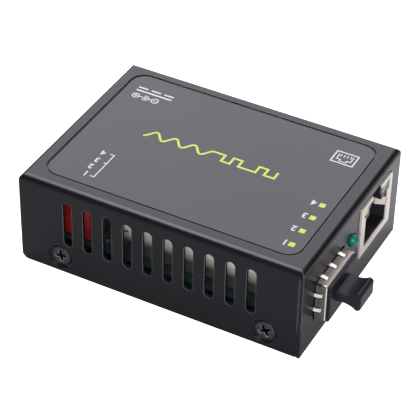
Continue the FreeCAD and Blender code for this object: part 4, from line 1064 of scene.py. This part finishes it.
print_marks("printed_lamp_squares", [square(SQUARE_U, v, SQUARE_SIDE) for v in LAMP_ROWS],
            green_ink, "amber_lens")
print_marks("printed_lamp_numbers", numbers(LAMP_ROWS, LAMP_NUMBER_SIZE, LAMP_NUMBER_START),
            white_ink, "white_moulding")
print_marks("printed_switch_bracket", bracket(), white_ink, "white_moulding")
print_marks("printed_switch_numbers", numbers(LEVER_ROWS, LEVER_NUMBER_SIZE, LEVER_NUMBER_START),
            white_ink, "white_moulding")
print("numbered", len(LAMP_ROWS), "lamps and", len(LEVER_ROWS), "levers")

# %% [markdown]
# A small drawing stands for each connector: the front of a modular jack by the copper port, and the usual
# signs for the polarity of a round plug and for direct current by the power input.

# %% Jack sign
JACK_SIGN = (-25.2, -15.1)


def jack_sign():
    """Front view of a modular jack: its frame, its opening with the latch step, and the row of contacts."""
    half_u, half_v, frame_line = 2.6, 2.0, 0.34
    around = [(-half_u, 0), (-half_u, half_v), (half_u, half_v), (half_u, -half_v), (-half_u, -half_v),
              (-half_u, 0)]
    foot, step, roof, wide, narrow, opening_line = -1.2, 0.7, 1.35, 1.7, 0.8, 0.26
    opening = [(-wide, foot), (-wide, step), (-narrow, step), (-narrow, roof), (narrow, roof),
               (narrow, step), (wide, step), (wide, foot)]
    low, high, half = -1.25, -0.35, 0.13
    contacts = [flat_box((u - half, low), (u + half, high)) for u in (-1.2, -0.4, 0.4, 1.2)]
    shapes = [ribbon(around, frame_line), ribbon(opening, opening_line), *contacts]
    return [(points + np.array(JACK_SIGN), faces) for points, faces in shapes]


print_marks("printed_jack_sign", jack_sign(), white_ink, "white_moulding")
print("jack sign at", JACK_SIGN)

# %% Power signs
SIGN_LINE = 0.28
SIGN_V = -13.6
PLUS, PLUG, MINUS = 27.2, 24.7, 22.2
RING_RADIUS = 0.8
RING_OPENING = math.radians(100)
CORE_RADIUS = 0.34
CURRENT_LOW, CURRENT_HIGH = 19.0, 28.2
CURRENT_LINE_V, CURRENT_DASH_V = -15.7, -16.9
CURRENT_HALF_LINE = 0.24
CURRENT_GAP = 0.9


def polarity_sign():
    """Rings with plus and minus on both sides of the round contact, a broken ring round its core."""
    arm, half_bar, gap = 0.45, 0.12, 0.01
    v, half, reach = SIGN_V, SIGN_LINE / 2, RING_RADIUS + SIGN_LINE / 2
    return [flat_ring((PLUS, v), RING_RADIUS, SIGN_LINE),
            flat_ring((MINUS, v), RING_RADIUS, SIGN_LINE),
            flat_box((PLUS - arm, v - half_bar), (PLUS + arm, v + half_bar)),
            flat_box((PLUS - half_bar, v + half_bar + gap), (PLUS + half_bar, v + arm)),
            flat_box((PLUS - half_bar, v - arm), (PLUS + half_bar, v - half_bar - gap)),
            flat_box((MINUS - arm, v - half_bar), (MINUS + arm, v + half_bar)),
            flat_ring((PLUG, v), RING_RADIUS, SIGN_LINE, RING_OPENING),
            flat_disc((PLUG, v), CORE_RADIUS),
            flat_box((PLUG + CORE_RADIUS + 2 * gap, v - half), (PLUS - reach, v + half)),
            flat_box((MINUS + reach, v - half), (PLUG - reach, v + half))]


def direct_current_sign():
    """One unbroken line, with three dashes beside it."""
    pitch = (CURRENT_HIGH - CURRENT_LOW + CURRENT_GAP) / 3
    starts = [CURRENT_LOW + number * pitch for number in range(3)]
    lines = [(CURRENT_LINE_V, CURRENT_LOW, CURRENT_HIGH)]
    lines += [(CURRENT_DASH_V, start, start + pitch - CURRENT_GAP) for start in starts]
    return [flat_box((low, v - CURRENT_HALF_LINE), (high, v + CURRENT_HALF_LINE)) for v, low, high in lines]


print_marks("printed_power_signs", polarity_sign() + direct_current_sign(), white_ink, "white_moulding")
